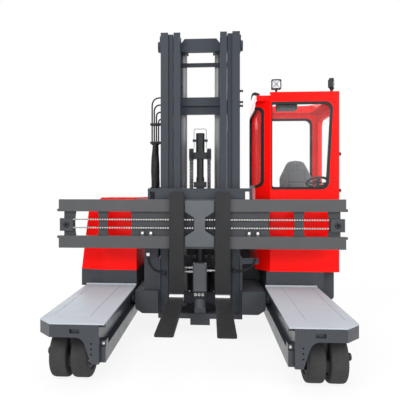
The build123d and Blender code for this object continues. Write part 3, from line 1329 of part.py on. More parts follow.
# Cab panels: front, mast side with its slanted corner, and rear, each with a window.
front = block(corner_x, CAB_OUTER, cab_y0, front_in, SUPERSTRUCTURE_Z, CAB_ROOF_BOTTOM)
nodes["cab_front_panel"] = front - front_opening(0.0, cab_y0 - CUT, front_in + CUT)
side_panel = side_wall(0.0, CAB_WALL, SUPERSTRUCTURE_Z, CAB_ROOF_BOTTOM)
nodes["cab_mast_side_panel"] = side_panel - side_opening(0.0)
rear = block(rear_x0, CAB_OUTER, rear_in, cab_y1, SUPERSTRUCTURE_Z, CAB_ROOF_BOTTOM)
nodes["cab_rear_panel"] = rear - rear_opening(0.0, rear_in - CUT, cab_y1 + CUT)

# Door frame on the outer side, and the floor.
door_y0 = NOSE_Y + DOOR_FRONT
door_y1 = NOSE_Y + DOOR_REAR
door_frame = block(frame_x0, CAB_OUTER, front_in, rear_in, SUPERSTRUCTURE_Z, CAB_ROOF_BOTTOM)
door_frame -= block(
    frame_x0 - CUT, CAB_OUTER + CUT, door_y0 - MOVE_CLEAR, door_y1 + MOVE_CLEAR,
    DOOR_BOTTOM - MOVE_CLEAR, DOOR_TOP + MOVE_CLEAR,
)
nodes["cab_floor"] = prism_z(
    [
        (corner_x, cab_y0 + CAB_WALL * slope / CAB_CHAMFER_X),
        (corner_x, front_in),
        (frame_x0, front_in),
        (frame_x0, rear_in),
        (rear_x0, rear_in),
        (rear_x0, corner_y + CAB_WALL * math.tan(turn / 2)),
    ],
    CAB_FLOOR_TOP - CAB_FLOOR_THICK, CAB_FLOOR_TOP,
)

# Roof: a slab with a glazed opening, and a lower, square-cornered eave on the mast side.
roof = block(corner_x, CAB_OUTER, cab_y0, cab_y1, CAB_ROOF_BOTTOM, CAB_TOP)
roof += block(
    CAB_INNER, corner_x, cab_y0 + ROOF_SETBACK, cab_y1, CAB_ROOF_BOTTOM, CAB_ROOF_BOTTOM + ROOF_EDGE
)
roof_x0 = corner_x + ROOF_WINDOW_MARGIN / 2
roof_x1 = CAB_OUTER - ROOF_WINDOW_MARGIN
roof_y0 = cab_y0 + ROOF_WINDOW_MARGIN
roof_y1 = cab_y1 - ROOF_WINDOW_MARGIN
roof_window = [(roof_x0, roof_y0), (roof_x1, roof_y0), (roof_x1, roof_y1), (roof_x0, roof_y1)]
nodes["cab_roof"] = roof - prism_z(roof_window, CAB_ROOF_BOTTOM - CUT, CAB_TOP + CUT, WINDOW_RADIUS)

# Panes: each fills its opening at the middle of the wall's thickness.
pane_depth = CAB_WALL / 2
pane_in = pane_depth + GLASS_THICK
side_sheet = side_wall(pane_depth, pane_in, SIDE_WINDOW_BOTTOM, SIDE_WINDOW_TOP)
roof_pane_z = CAB_ROOF_BOTTOM + ROOF_PANE_RISE
nodes["cab_glass"] = group(
    front_opening(0.0, cab_y0 + pane_depth, cab_y0 + pane_in),
    side_sheet & side_opening(0.0),
    rear_opening(0.0, cab_y1 - pane_in, cab_y1 - pane_depth),
    prism_z(roof_window, roof_pane_z, roof_pane_z + GLASS_THICK, WINDOW_RADIUS),
)

# Window seals: a frame in each opening, standing out of the wall.
front_seal = front_opening(0.0, cab_y0 - SEAL_PROUD, cab_y0 + pane_depth)
front_seal -= front_opening(SEAL_WIDTH, cab_y0 - SEAL_PROUD - CUT, cab_y0 + pane_depth + CUT)
side_seal = side_wall(-SEAL_PROUD, pane_depth, SIDE_WINDOW_BOTTOM, SIDE_WINDOW_TOP)
side_seal = (side_seal & side_opening(0.0)) - side_opening(SEAL_WIDTH)
rear_seal = rear_opening(0.0, rear_in - SEAL_PROUD, cab_y1 - pane_in)
rear_seal -= rear_opening(SEAL_WIDTH, rear_in - SEAL_PROUD - CUT, cab_y1 - pane_in + CUT)
nodes["window_seals"] = group(front_seal, side_seal, rear_seal)

# Door: a panel with its own window, hung on two hinges at its front edge.
hinge_x = CAB_OUTER + DOOR_HINGE_RADIUS
hinge_y = door_y0 - MOVE_CLEAR / 2
door_x0 = CAB_OUTER - DOOR_THICK
door_window = [
    (door_y0 + DOOR_STILE, DOOR_WINDOW_BOTTOM),
    (door_y1 - DOOR_STILE, DOOR_WINDOW_BOTTOM),
    (door_y1 - DOOR_STILE, DOOR_TOP - DOOR_STILE),
    (door_y0 + DOOR_STILE, DOOR_TOP - DOOR_STILE),
]
door = block(door_x0, CAB_OUTER, door_y0, door_y1, DOOR_BOTTOM, DOOR_TOP)
door -= prism_x(door_window, door_x0 - CUT, CAB_OUTER + CUT, WINDOW_RADIUS)
# Door hinges: middle height of each.
DOOR_HINGES = [1540.0, 1940.0]
for hinge_z in DOOR_HINGES:
    low = hinge_z - DOOR_HINGE_HEIGHT / 2
    middle_z = hinge_z + DOOR_HINGE_GAP
    high = hinge_z + DOOR_HINGE_HEIGHT / 2
    door += rod_z(hinge_x, hinge_y, middle_z, high, DOOR_HINGE_RADIUS)
    door += block(CAB_OUTER, hinge_x, hinge_y, hinge_y + DOOR_HINGE_LEAF, middle_z, high)
    door_frame += rod_z(hinge_x, hinge_y, low, hinge_z, DOOR_HINGE_RADIUS)
    door_frame += block(CAB_OUTER, hinge_x, hinge_y - DOOR_HINGE_LEAF, hinge_y, low, hinge_z)
nodes["cab_door"] = door
nodes["cab_door_frame"] = door_frame
door_pane_x = CAB_OUTER - DOOR_THICK / 2
nodes["door_glass"] = prism_x(door_window, door_pane_x, door_pane_x + GLASS_THICK, WINDOW_RADIUS)

# Seat: base, cushion and a backrest with rounded shoulders.
seat_x = frame_x0 - SEAT_DOOR_GAP - SEAT_WIDTH / 2
seat_x0 = seat_x - SEAT_WIDTH / 2
seat_x1 = seat_x + SEAT_WIDTH / 2
seat_y = NOSE_Y + SEAT_BACK
cushion_z0 = SEAT_TOP - SEAT_CUSHION
nodes["seat_base"] = prism_x(
    [
        (seat_y - SEAT_BASE_FRONT, CAB_FLOOR_TOP),
        (seat_y + SEAT_BASE_REAR, CAB_FLOOR_TOP),
        (seat_y + SEAT_BASE_REAR - SEAT_BASE_LEAN, cushion_z0),
        (seat_y - SEAT_BASE_FRONT - SEAT_BASE_LEAN, cushion_z0),
    ],
    seat_x - SEAT_BASE_HALF, seat_x + SEAT_BASE_HALF,
)
cushion_y1 = seat_y + SEAT_DEPTH_REAR
cushion = block(seat_x0, seat_x1, seat_y - SEAT_DEPTH_FRONT, cushion_y1, cushion_z0, SEAT_TOP)
nodes["seat_cushion"] = fillet(cushion.edges().filter_by(Axis.Z), SEAT_CORNER)
back_y0 = cushion_y1 + SEAT_SEAM
back_z0 = SEAT_TOP - SEAT_BACK_DROP
backrest = prism_x(
    [
        (back_y0, back_z0),
        (back_y0 + SEAT_BACK_THICK, back_z0),
        (back_y0 + SEAT_BACK_LEAN + SEAT_BACK_TOP_THICK, SEAT_BACK_TOP),
        (back_y0 + SEAT_BACK_LEAN, SEAT_BACK_TOP),
    ],
    seat_x0, seat_x1,
)
shoulders = [e for e in backrest.edges().filter_by(Axis.Y) if e.center().Z > SEAT_BACK_TOP - CUT]
nodes["seat_backrest"] = fillet(shoulders, SEAT_SHOULDER)

# Steering column and wheel, and the radio under the front header.
column_x = frame_x0 - STEER_DOOR_GAP
wheel_mid_y = NOSE_Y + STEER_WHEEL_BACK
column = prism_x(
    [
        (wheel_mid_y - COLUMN_FOOT_FRONT, CAB_FLOOR_TOP),
        (wheel_mid_y, CAB_FLOOR_TOP),
        (wheel_mid_y + COLUMN_HEAD_REAR, STEER_WHEEL_Z - COLUMN_DROP_REAR),
        (wheel_mid_y - COLUMN_HEAD_FRONT, STEER_WHEEL_Z - COLUMN_DROP_FRONT),
    ],
    column_x - COLUMN_HALF, column_x + COLUMN_HALF, COLUMN_CORNER,
)
wheel_tilt = Pos(column_x, wheel_mid_y, STEER_WHEEL_Z) * Rot(-STEER_WHEEL_TILT, 0, 0)
shaft_place = wheel_tilt * Pos(0, 0, -STEER_SHAFT_DROP)
column -= shaft_place * Cylinder(STEER_SHAFT_RADIUS + PIN_CLEAR, STEER_SHAFT_LENGTH + 2 * PIN_CLEAR)
nodes["steering_column"] = column
rim_path = RegularPolygon(STEER_WHEEL_RADIUS, STEER_RIM_SIDES).wire()
rim_section = Plane(rim_path @ 0, z_dir=rim_path % 0) * RegularPolygon(STEER_RIM_RADIUS, 8)
steering = wheel_tilt * sweep(rim_section, rim_path, transition=Transition.RIGHT)
steering += wheel_tilt * Box(2 * STEER_WHEEL_RADIUS, STEER_SPOKE_WIDTH, STEER_SPOKE_THICK)
steering += shaft_place * Cylinder(STEER_SHAFT_RADIUS, STEER_SHAFT_LENGTH)
nodes["steering_wheel"] = steering
radio_x0 = corner_x + RADIO_INSET
nodes["overhead_radio"] = block(
    radio_x0, radio_x0 + RADIO_WIDTH, front_in, front_in + RADIO_DEPTH,
    CAB_ROOF_BOTTOM - RADIO_HEIGHT, CAB_ROOF_BOTTOM,
)


def work_lamp(turn_deg):
    """Lamp with a finned body, a recessed lens and a stalk, facing -Y before it is turned about Z."""
    mid_z = LAMP_STALK + LAMP_SIZE / 2
    body = Pos(0, 0, mid_z) * Box(LAMP_SIZE, LAMP_DEPTH, LAMP_SIZE)
    body = fillet(body.edges().filter_by(Axis.Y), LAMP_CORNER)
    lens = LAMP_SIZE - 2 * LAMP_BEZEL
    body -= Pos(0, -LAMP_DEPTH / 2, mid_z) * Box(lens, LAMP_BEZEL, lens)
    for fin in range(LAMP_FINS):
        fin_x = (fin - (LAMP_FINS - 1) / 2) * LAMP_FIN_PITCH
        fin_y = (LAMP_DEPTH + LAMP_FIN_DEPTH) / 2
        body += Pos(fin_x, fin_y, mid_z) * Box(LAMP_FIN_THICK, LAMP_FIN_DEPTH, LAMP_SIZE * LAMP_FIN_SHARE)
    body += Pos(0, 0, LAMP_STALK / 2) * Box(LAMP_STALK_WIDTH, LAMP_STALK_DEPTH, LAMP_STALK)
    return Rot(0, 0, turn_deg) * body


lamp_y = cab_y0 + LAMP_INSET_FRONT
nodes["work_lamps"] = group(
    Pos(corner_x + LAMP_INSET_LEFT, lamp_y, CAB_TOP) * work_lamp(0),
    Pos(CAB_OUTER - LAMP_INSET_RIGHT, lamp_y, CAB_TOP) * work_lamp(LAMP_RIGHT_TURN),
)

# Fuel tank under the door, its lower edge rounded, with a step cut into it.
tank_y0 = NOSE_Y + TANK_FRONT
tank_y1 = NOSE_Y + TANK_REAR
tank_x1 = cab_base_x + TANK_WIDTH
tank_section = flat(
    [
        (cab_base_x, SUPERSTRUCTURE_Z),
        (tank_x1, SUPERSTRUCTURE_Z),
        (tank_x1, TANK_BOTTOM),
        (LEG_OUTER, TANK_BOTTOM),
        (LEG_OUTER, BASE_SKIRT),
        (cab_base_x, BASE_SKIRT),
    ],
    TANK_CORNER, only=[2],
)
tank = along_y(tank_section, tank_y0, tank_y1)
tank -= block(
    tank_x1 - STEP_DEPTH, tank_x1 + CUT, tank_y0 + STEP_MARGIN, tank_y1 - STEP_MARGIN,
    STEP_BOTTOM, STEP_BOTTOM + STEP_HEIGHT,
)
nodes["fuel_tank"] = tank

# Hydraulic hoses up the mast's left side: a sleeve that tapers above its
# straight part, held by clamps, and four hoses that turn in to the mast.
hose_y = mast_y0 + HOSE_BACK
hose_x = -OUTER_HALF - HOSE_SLEEVE_GAP - HOSE_SLEEVE_RADIUS
taper = HOSE_SLEEVE_TOP - HOSE_SLEEVE_STRAIGHT
hoses = rod_z(hose_x, hose_y, ROLLER_BOX_TOP, HOSE_SLEEVE_STRAIGHT, HOSE_SLEEVE_RADIUS)
hoses += Pos(hose_x, hose_y, HOSE_SLEEVE_STRAIGHT + taper / 2) * Cone(
    HOSE_SLEEVE_RADIUS, HOSE_SLEEVE_TOP_RADIUS, taper
)
# Hoses above the sleeve: sideways from its middle, height of the turn.
HOSES = [(-36.0, 2580.0), (-12.0, 2500.0), (12.0, 2420.0), (36.0, 2340.0)]
for offset, turn_z in HOSES:
    hoses += rod_z(hose_x + offset, hose_y, HOSE_SLEEVE_TOP, turn_z, HOSE_RADIUS)
    hoses += rod_x(hose_x + offset - HOSE_RADIUS, -OUTER_HALF, hose_y, turn_z, HOSE_RADIUS)
# Clamps on the mast: bottom of each.
HOSE_CLAMPS = [1000.0, 1560.0, 2066.0, 2270.0]
for clamp_z in HOSE_CLAMPS:
    hoses += block(
        hose_x - HOSE_SLEEVE_RADIUS - HOSE_RADIUS, -OUTER_HALF,
        hose_y - HOSE_CLAMP_DEPTH, hose_y + HOSE_CLAMP_DEPTH, clamp_z, clamp_z + HOSE_CLAMP_HEIGHT,
    )
nodes["hose_bundle"] = hoses

# Manifold in the middle of the reach slide, over its pump motor and foot.
manifold = block(
    -MANIFOLD_HALF, MANIFOLD_HALF, reach_y0 + MANIFOLD_STEP, mast_y0 - MANIFOLD_STEP,
    MANIFOLD_BOTTOM, MANIFOLD_TOP,
)
manifold = fillet(manifold.edges().filter_by(Axis.Z), MANIFOLD_CORNER)
manifold += rod_z(0, reach_y0 + MANIFOLD_STEP + MOTOR_RADIUS, MOTOR_BOTTOM, MANIFOLD_BOTTOM, MOTOR_RADIUS)
foot_y0 = lead_y + MOTOR_FOOT_STEP
manifold += block(
    -MOTOR_RADIUS, MOTOR_RADIUS, foot_y0, foot_y0 + MOTOR_FOOT_DEPTH, REACH_FLOOR_TOP, MOTOR_BOTTOM
)
nodes["hydraulic_manifold"] = manifold

os.makedirs("parts", exist_ok=True)
for name, shape in nodes.items():
    export_step(shape, f"parts/{name}.step")
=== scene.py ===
import json
import math

import bmesh
import bpy
import numpy as np
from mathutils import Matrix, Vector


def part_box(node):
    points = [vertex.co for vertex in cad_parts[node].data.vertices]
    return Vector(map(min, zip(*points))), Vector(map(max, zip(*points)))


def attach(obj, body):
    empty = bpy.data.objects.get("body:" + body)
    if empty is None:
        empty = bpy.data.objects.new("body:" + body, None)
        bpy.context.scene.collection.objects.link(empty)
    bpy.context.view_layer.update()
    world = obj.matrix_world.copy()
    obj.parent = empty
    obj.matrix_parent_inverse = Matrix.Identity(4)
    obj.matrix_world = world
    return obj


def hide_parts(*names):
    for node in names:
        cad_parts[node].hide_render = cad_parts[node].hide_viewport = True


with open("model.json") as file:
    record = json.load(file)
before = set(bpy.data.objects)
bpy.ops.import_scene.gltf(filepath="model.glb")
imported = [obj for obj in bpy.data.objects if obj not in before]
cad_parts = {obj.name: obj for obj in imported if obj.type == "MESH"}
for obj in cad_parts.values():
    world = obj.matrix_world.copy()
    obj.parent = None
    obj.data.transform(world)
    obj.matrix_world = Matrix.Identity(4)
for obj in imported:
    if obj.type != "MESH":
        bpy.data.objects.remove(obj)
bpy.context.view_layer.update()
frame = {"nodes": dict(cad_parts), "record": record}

node = frame["nodes"]
scene = bpy.context.scene

# Camera at the photograph's viewpoint, measured from the leg noses.
NOSE_Y = float(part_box("legs")[0][1])
CAMERA_FROM_NOSE = (0.1137, -3.2853, 1.5164)
CAMERA_YAW = 0.0613
LENS_MM = 39.25
FRAMING_SHIFT = (0.0402, -0.0168)

camera = bpy.data.objects.new("camera", bpy.data.cameras.new("camera"))
camera.data.sensor_width = 36.0
camera.data.lens = LENS_MM
camera.data.shift_x, camera.data.shift_y = FRAMING_SHIFT
camera.data.clip_end = 200.0
camera.location = (CAMERA_FROM_NOSE[0], NOSE_Y + CAMERA_FROM_NOSE[1], CAMERA_FROM_NOSE[2])
camera.rotation_euler = (math.pi / 2, 0.0, CAMERA_YAW)
scene.collection.objects.link(camera)
scene.camera = camera
scene.view_settings.view_transform = "Standard"

# Soft boxes: name, place, target, width, height, watts.
SOFT_BOXES = [
    ("key", (-3.4, -5.6, 5.0), (0.0, -0.2, 1.0), 4.0, 3.0, 290.0),
    ("fill", (4.6, -4.6, 3.6), (0.3, 0.0, 1.0), 3.5, 3.0, 210.0),
    ("top", (0.0, 0.2, 7.0), (0.0, 0.0, 0.0), 6.0, 6.0, 270.0),
    ("low front", (0.0, -7.0, 1.1), (0.0, 0.0, 0.8), 6.0, 1.6, 125.0),
    ("rear", (-1.5, 6.0, 4.5), (0.0, 0.0, 1.2), 4.0, 3.0, 180.0),
]


def lamp_turn(place, target):
    """Euler angles that point a lamp's -Z from its place at its target."""
    direction = np.subtract(target, place)
    level = math.hypot(direction[0], direction[1])
    return (math.atan2(level, -direction[2]), 0.0, math.atan2(-direction[0], direction[1]))


for name, place, target, width, height, watts in SOFT_BOXES:
    lamp = bpy.data.lights.new(name, "AREA")
    lamp.shape = "RECTANGLE"
    lamp.size, lamp.size_y, lamp.energy = width, height, watts
    lamp_object = bpy.data.objects.new(name, lamp)
    lamp_object.location = place
    lamp_object.rotation_euler = lamp_turn(place, target)
    scene.collection.objects.link(lamp_object)


class Nodes:
    """A short way to write a node tree: add a node with its inputs, link by passing a socket."""

    def __init__(self, tree):
        self.tree = tree
        tree.nodes.clear()

    def add(self, kind, out=0, inputs=(), **settings):
        made = self.tree.nodes.new(kind)
        for key, value in settings.items():
            setattr(made, key, value)
        for key, value in dict(inputs).items():
            if isinstance(value, bpy.types.NodeSocket):
                self.tree.links.new(value, made.inputs[key])
            else:
                made.inputs[key].default_value = value
        return made.outputs[out]

    def noise(self, place, scale, detail=6.0, roughness=0.6):
        return self.add("ShaderNodeTexNoise", inputs={
            "Vector": place, "Scale": scale, "Detail": detail, "Roughness": roughness})

    def span(self, value, low, high, to_low, to_high):
        return self.add("ShaderNodeMapRange", inputs={0: value, 1: low, 2: high, 3: to_low, 4: to_high})

    def blend(self, share, first, second):
        return self.add("ShaderNodeMix", out=2, inputs={0: share, 6: first, 7: second}, data_type="RGBA")

    def math(self, operation, first, second):
        return self.add("ShaderNodeMath", inputs={0: first, 1: second}, operation=operation)

    def end(self, shader, kind="ShaderNodeOutputMaterial"):
        made = self.tree.nodes.new(kind)
        self.tree.links.new(shader, made.inputs["Surface"])


def seen_directly(n):
    """1 on rays that show the background: from the camera, off gloss, or through glass."""
    path = n.tree.nodes.new("ShaderNodeLightPath")
    seen = n.math("MAXIMUM", path.outputs["Is Camera Ray"], path.outputs["Is Glossy Ray"])
    return n.math("MAXIMUM", seen, path.outputs["Is Transmission Ray"])


WORLD_LIGHT = 0.42
world = bpy.data.worlds.new("studio")
world.use_nodes = True
studio = Nodes(world.node_tree)
lit = studio.add("ShaderNodeBackground", inputs={"Color": (1, 1, 1, 1), "Strength": WORLD_LIGHT})
shown = studio.add("ShaderNodeBackground", inputs={"Color": (1, 1, 1, 1), "Strength": 1.0})
backdrop = studio.add("ShaderNodeMixShader", inputs={0: seen_directly(studio), 1: lit, 2: shown})
studio.end(backdrop, "ShaderNodeOutputWorld")
scene.world = world


# Finishes
def new_finish(name):
    """An empty material, its node writer and its Object coordinates."""
    material = bpy.data.materials.new(name)
    material.use_nodes = True
    n = Nodes(material.node_tree)
    return material, n, n.add("ShaderNodeTexCoord", out=3)


SCUFF_PEAKS = (0.64, 0.74)
DUST_HEIGHTS = (0.05, 0.7)
DUST_COLOUR = (0.30, 0.29, 0.27, 1)
PEEL_SCALE = 240.0
PEEL_DEPTH = 0.004
COAT_ROUGHNESS = 0.10
# Height over which the painted highlight across a heel fades out at its top.
HEEL_HIGHLIGHT_FADE = 0.01


def paint_finish(name, colour, shade, rough, scale=6.0, spread=0.10, peel=0.02, coat=0.0, metal=0.0,
                 specular=0.4, scuff=0.0, scuff_colour=(0.3, 0.3, 0.3), stretch=(1, 1, 1), dust=0.0, heel=None):
    """A coat whose colour drifts between two shades on large noise, whose roughness drifts with it, with fine
    peel as bump, thin stretched scuffs where a second noise peaks, dust low down, and a painted highlight: a pale
    stripe across a heel, between two places along Y and under a height, standing in for light caught on its bend."""
    material, n, place = new_finish(name)
    drift = n.noise(place, scale)
    tint = n.blend(drift, (*colour, 1), (*shade, 1))
    gloss = n.span(drift, 0.3, 0.7, rough - spread / 2, rough + spread / 2)
    if scuff > 0:
        streak = n.add("ShaderNodeMapping", inputs={"Vector": place, "Scale": stretch})
        worn = n.span(n.noise(streak, 30.0, 9.0, 0.75), *SCUFF_PEAKS, 0.0, scuff)
        tint = n.blend(worn, tint, (*scuff_colour, 1))
    height = n.add("ShaderNodeSeparateXYZ", out=2, inputs={0: place})
    depth = height.node.outputs[1]
    if dust > 0:
        low = n.span(height, *DUST_HEIGHTS, dust, 0.0)
        settled = n.math("MULTIPLY", low, n.noise(place, 14.0, 8.0, 0.7))
        tint = n.blend(settled, tint, DUST_COLOUR)
    # Painted highlight: a pale stripe across the heel's bend, where light catches it.
    if heel:
        start, end, under, highlight_colour = heel
        edge = (end - start) / 4
        rise = n.span(depth, start, start + edge, 0.0, 1.0)
        heel_highlight = n.math("MULTIPLY", rise, n.span(depth, end - edge, end, 1.0, 0.0))
        heel_highlight = n.math("MULTIPLY", heel_highlight, n.span(height, under - HEEL_HIGHLIGHT_FADE, under, 1.0, 0.0))
        tint = n.blend(heel_highlight, tint, (*highlight_colour, 1))
    grain = n.noise(place, PEEL_SCALE, 3.0)
    normal = n.add("ShaderNodeBump", inputs={"Height": grain, "Strength": peel, "Distance": PEEL_DEPTH})
    shader = n.add("ShaderNodeBsdfPrincipled", inputs={"Base Color": tint, "Roughness": gloss, "Normal": normal})
    sockets = shader.node.inputs
    sockets["Metallic"].default_value = metal
    sockets["Specular IOR Level"].default_value = specular
    sockets["Coat Weight"].default_value = coat
    sockets["Coat Roughness"].default_value = COAT_ROUGHNESS
    n.end(shader)
    return material


def glass_finish(name, tint, alpha):
    """Clear pane: mostly see-through, with a faint tint, gloss from its own reflection and light smears."""
    material, n, place = new_finish(name)
    smear = n.noise(place, 3.0, 5.0)
    haze = n.span(smear, 0.35, 0.75, alpha * 0.7, alpha * 1.3)
    gloss = n.span(smear, 0.3, 0.7, 0.03, 0.08)
    shader = n.add("ShaderNodeBsdfPrincipled", inputs={
        "Base Color": (*tint, 1), "Roughness": gloss, "Alpha": haze})
    shader.node.inputs["Specular IOR Level"].default_value = 0.5
    n.end(shader)
    return material


def cloth_finish(name, colour, shade):
    """Woven seat cloth: two crossed fine waves for the weave, over a slow drift of shade, with sheen."""
    material, n, place = new_finish(name)
    wave = {"Vector": place, "Scale": 160.0, "Distortion": 0.4}
    warp = n.add("ShaderNodeTexWave", inputs=wave, bands_direction="X")
    weft = n.add("ShaderNodeTexWave", inputs=wave, bands_direction="Z")
    weave = n.math("MULTIPLY", warp, weft)
    mixed = n.math("MULTIPLY", weave, n.noise(place, 9.0, 5.0))
    tint = n.blend(mixed, (*colour, 1), (*shade, 1))
    normal = n.add("ShaderNodeBump", inputs={"Height": weave, "Strength": 0.35, "Distance": 0.002})
    shader = n.add("ShaderNodeBsdfPrincipled", inputs={"Base Color": tint, "Roughness": 0.85, "Normal": normal})
    shader.node.inputs["Sheen Weight"].default_value = 0.2
    n.end(shader)
    return material


RED = paint_finish("red gloss paint", (0.93, 0.004, 0.002), (0.87, 0.003, 0.002), 0.40, spread=0.08,
                   peel=0.012, specular=0.10)
CHASSIS = paint_finish("blue-grey chassis paint", (0.043, 0.047, 0.056), (0.035, 0.039, 0.047), 0.46, peel=0.03,
                       dust=0.08, specular=0.18)
LEG = paint_finish("leg gloss paint", (0.020, 0.025, 0.034), (0.016, 0.020, 0.028), 0.30, peel=0.02, dust=0.08,
                   specular=0.55)
MAST = paint_finish("mast paint", (0.038, 0.044, 0.055), (0.030, 0.035, 0.045), 0.42, scale=9.0, peel=0.025,
                    specular=0.16, scuff=0.2, scuff_colour=(0.15, 0.15, 0.16), stretch=(6, 6, 0.35))
BLACK_IRON = paint_finish("black cylinder enamel", (0.016, 0.017, 0.020), (0.010, 0.011, 0.013), 0.40, scale=12.0,
                          peel=0.04, specular=0.20)
CARRIAGE = paint_finish("carriage grey paint", (0.076, 0.077, 0.080), (0.064, 0.065, 0.068), 0.46, peel=0.03,
                        specular=0.16, scuff=0.15, scuff_colour=(0.20, 0.20, 0.20), stretch=(0.4, 5, 5))
PLATE = paint_finish("pale plate paint", (0.090, 0.097, 0.107), (0.075, 0.081, 0.090), 0.42, peel=0.03,
                     specular=0.18)
RIB = paint_finish("rib grey paint", (0.052, 0.055, 0.060), (0.042, 0.045, 0.049), 0.50, peel=0.03, specular=0.16)
# The fork paint carries a painted highlight: a pale stripe across the heel's bend that stands in for light caught
# there.
FORK = paint_finish("fork paint", (0.022, 0.022, 0.023), (0.016, 0.016, 0.017), 0.44, peel=0.03, specular=0.14,
                    scuff=0.2, scuff_colour=(0.12, 0.12, 0.12), stretch=(6, 0.5, 0.5),
                    heel=(-0.172, -0.108, 0.490, (0.66, 0.66, 0.66)))
DECK = paint_finish("deck grey paint", (0.40, 0.435, 0.475), (0.35, 0.38, 0.42), 0.50, spread=0.12, peel=0.02,
                    specular=0.12, scuff=0.2, scuff_colour=(0.27, 0.28, 0.30), stretch=(5, 0.4, 1))
TYRE = paint_finish("tyre rubber", (0.026, 0.026, 0.027), (0.019, 0.019, 0.020), 0.74, scale=16.0, peel=0.10,
                    dust=0.10, specular=0.20)
RUBBER = paint_finish("black rubber", (0.016, 0.016, 0.017), (0.011, 0.011, 0.012), 0.55, scale=20.0, peel=0.06,
                      specular=0.20)
PLASTIC = paint_finish("moulded black plastic", (0.024, 0.024, 0.026), (0.017, 0.017, 0.019), 0.50, scale=14.0,
                       peel=0.12, specular=0.22)
ROD = paint_finish("polished rod", (0.70, 0.71, 0.73), (0.60, 0.61, 0.63), 0.14, spread=0.06, peel=0.005, metal=1.0)
ZINC = paint_finish("zinc fittings", (0.62, 0.62, 0.61), (0.50, 0.50, 0.49), 0.30, scale=30.0, peel=0.05, metal=0.6)
CYLINDER = paint_finish("cylinder grey paint", (0.30, 0.305, 0.315), (0.25, 0.255, 0.265), 0.34, peel=0.03,
                        specular=0.3)
CHAIN = paint_finish("oiled chain steel", (0.020, 0.020, 0.020), (0.012, 0.012, 0.012), 0.40, scale=40.0, peel=0.06,
                     specular=0.25)
BRIGHT_CHAIN = paint_finish("bright chain steel", (0.42, 0.42, 0.41), (0.30, 0.30, 0.29), 0.34, scale=40.0,
                            peel=0.06, metal=0.4)
CASTING = paint_finish("painted casting", (0.043, 0.047, 0.056), (0.035, 0.039, 0.047), 0.52, scale=12.0, peel=0.14,
                       dust=0.08, specular=0.18)
LENS = paint_finish("pale lamp lens", (0.50, 0.51, 0.53), (0.38, 0.39, 0.41), 0.16, scale=60.0, peel=0.08, coat=0.3)
GLASS = glass_finish("cab glass", (0.80, 0.86, 0.87), 0.025)
SEAT_CLOTH = cloth_finish("seat cloth", (0.108, 0.122, 0.130), (0.190, 0.212, 0.224))

# Which finish each record slot's nodes take, and the nodes that take another.
SLOT_FINISH = {
    "red_paint": RED, "chassis_grey": CHASSIS, "carriage_grey": CARRIAGE, "fork_steel": FORK,
    "deck_grey": DECK, "tyre": TYRE, "black_rubber": RUBBER, "black_plastic": PLASTIC, "glass": GLASS,
    "bright_rod": ROD, "cylinder_grey": CYLINDER, "chain_steel": CHAIN, "cast_iron": CASTING,
    "seat_fabric": SEAT_CLOTH,
}
# The carriage frame takes the dark mast paint, the frame's own colour. On its rear cross plate in the carriage's
# middle this dark paint also stands in for the shade that falls in that recess.
NODE_FINISH = {
    "legs": LEG, "outer_mast": MAST, "middle_mast": MAST, "inner_mast": MAST, "carriage_frame": MAST,
    "free_lift_cylinder": BLACK_IRON, "lift_crosshead": BLACK_IRON, "hydraulic_manifold": PLATE,
    "centre_plate": PLATE, "carriage_ribs": RIB, "fork_positioner": RIB,
}
for part in frame["record"]["subparts"]:
    mesh = node[part["node"]].data
    mesh.materials.clear()
    mesh.materials.append(NODE_FINISH.get(part["node"], SLOT_FINISH[part["material_slot"]]))


# Shapes worked out on grids
MERGE_DISTANCE = 1e-6
FLAT_DISTANCE = 1e-7
SHARP_ANGLE = math.radians(38)
BLOCK_ROWS, BLOCK_COLUMNS = 41, 80
ORIGIN = (0, 0, 0)


def corners(name):
    """Lowest and highest corner of a CAD node's box."""
    low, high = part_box(name)
    return np.array(low, float), np.array(high, float)


def bowed(wave, fullness):
    """A sine or cosine pushed out towards a square wave, squarer as its fullness grows."""
    return np.sign(wave) * np.abs(wave) ** (2 / fullness)


def grid_faces(rows, columns, wrap_rows=False, wrap_columns=False):
    """Quads between neighbours of a rows by columns grid of points, wrapped where the surface closes on itself."""
    row = np.arange(rows if wrap_rows else rows - 1)[:, None]
    column = np.arange(columns if wrap_columns else columns - 1)[None, :]

    def corner(down, across):
        return ((row + down) % rows) * columns + (column + across) % columns

    quads = np.stack([corner(0, 0), corner(0, 1), corner(1, 1), corner(1, 0)], axis=-1)
    return quads.reshape(-1, 4)


def put_mesh(name, shapes, finish, body, smooth=True):
    """One object from one or more (points, faces) pairs: points stacked, faces shifted to match, doubles merged,
    faces turned outwards, riding on its body with its finish."""
    points = [np.asarray(shape[0], float).reshape(-1, 3) for shape in shapes]
    starts = np.cumsum([0] + [len(part) for part in points[:-1]])
    faces = np.concatenate([shape[1] + start for shape, start in zip(shapes, starts)])
    mesh = bpy.data.meshes.new(name)
    mesh.from_pydata(np.concatenate(points).tolist(), [], faces.tolist())
    made = bmesh.new()
    made.from_mesh(mesh)
    bmesh.ops.remove_doubles(made, verts=made.verts, dist=MERGE_DISTANCE)
    bmesh.ops.dissolve_degenerate(made, edges=made.edges, dist=FLAT_DISTANCE)
    bmesh.ops.recalc_face_normals(made, faces=made.faces)
    made.to_mesh(mesh)
    made.free()
    mesh.materials.append(finish)
    if smooth:
        mesh.shade_smooth()
        mesh.set_sharp_from_angle(angle=SHARP_ANGLE)
    piece = bpy.data.objects.new(name, mesh)
    scene.collection.objects.link(piece)
    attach(piece, body)
    return piece


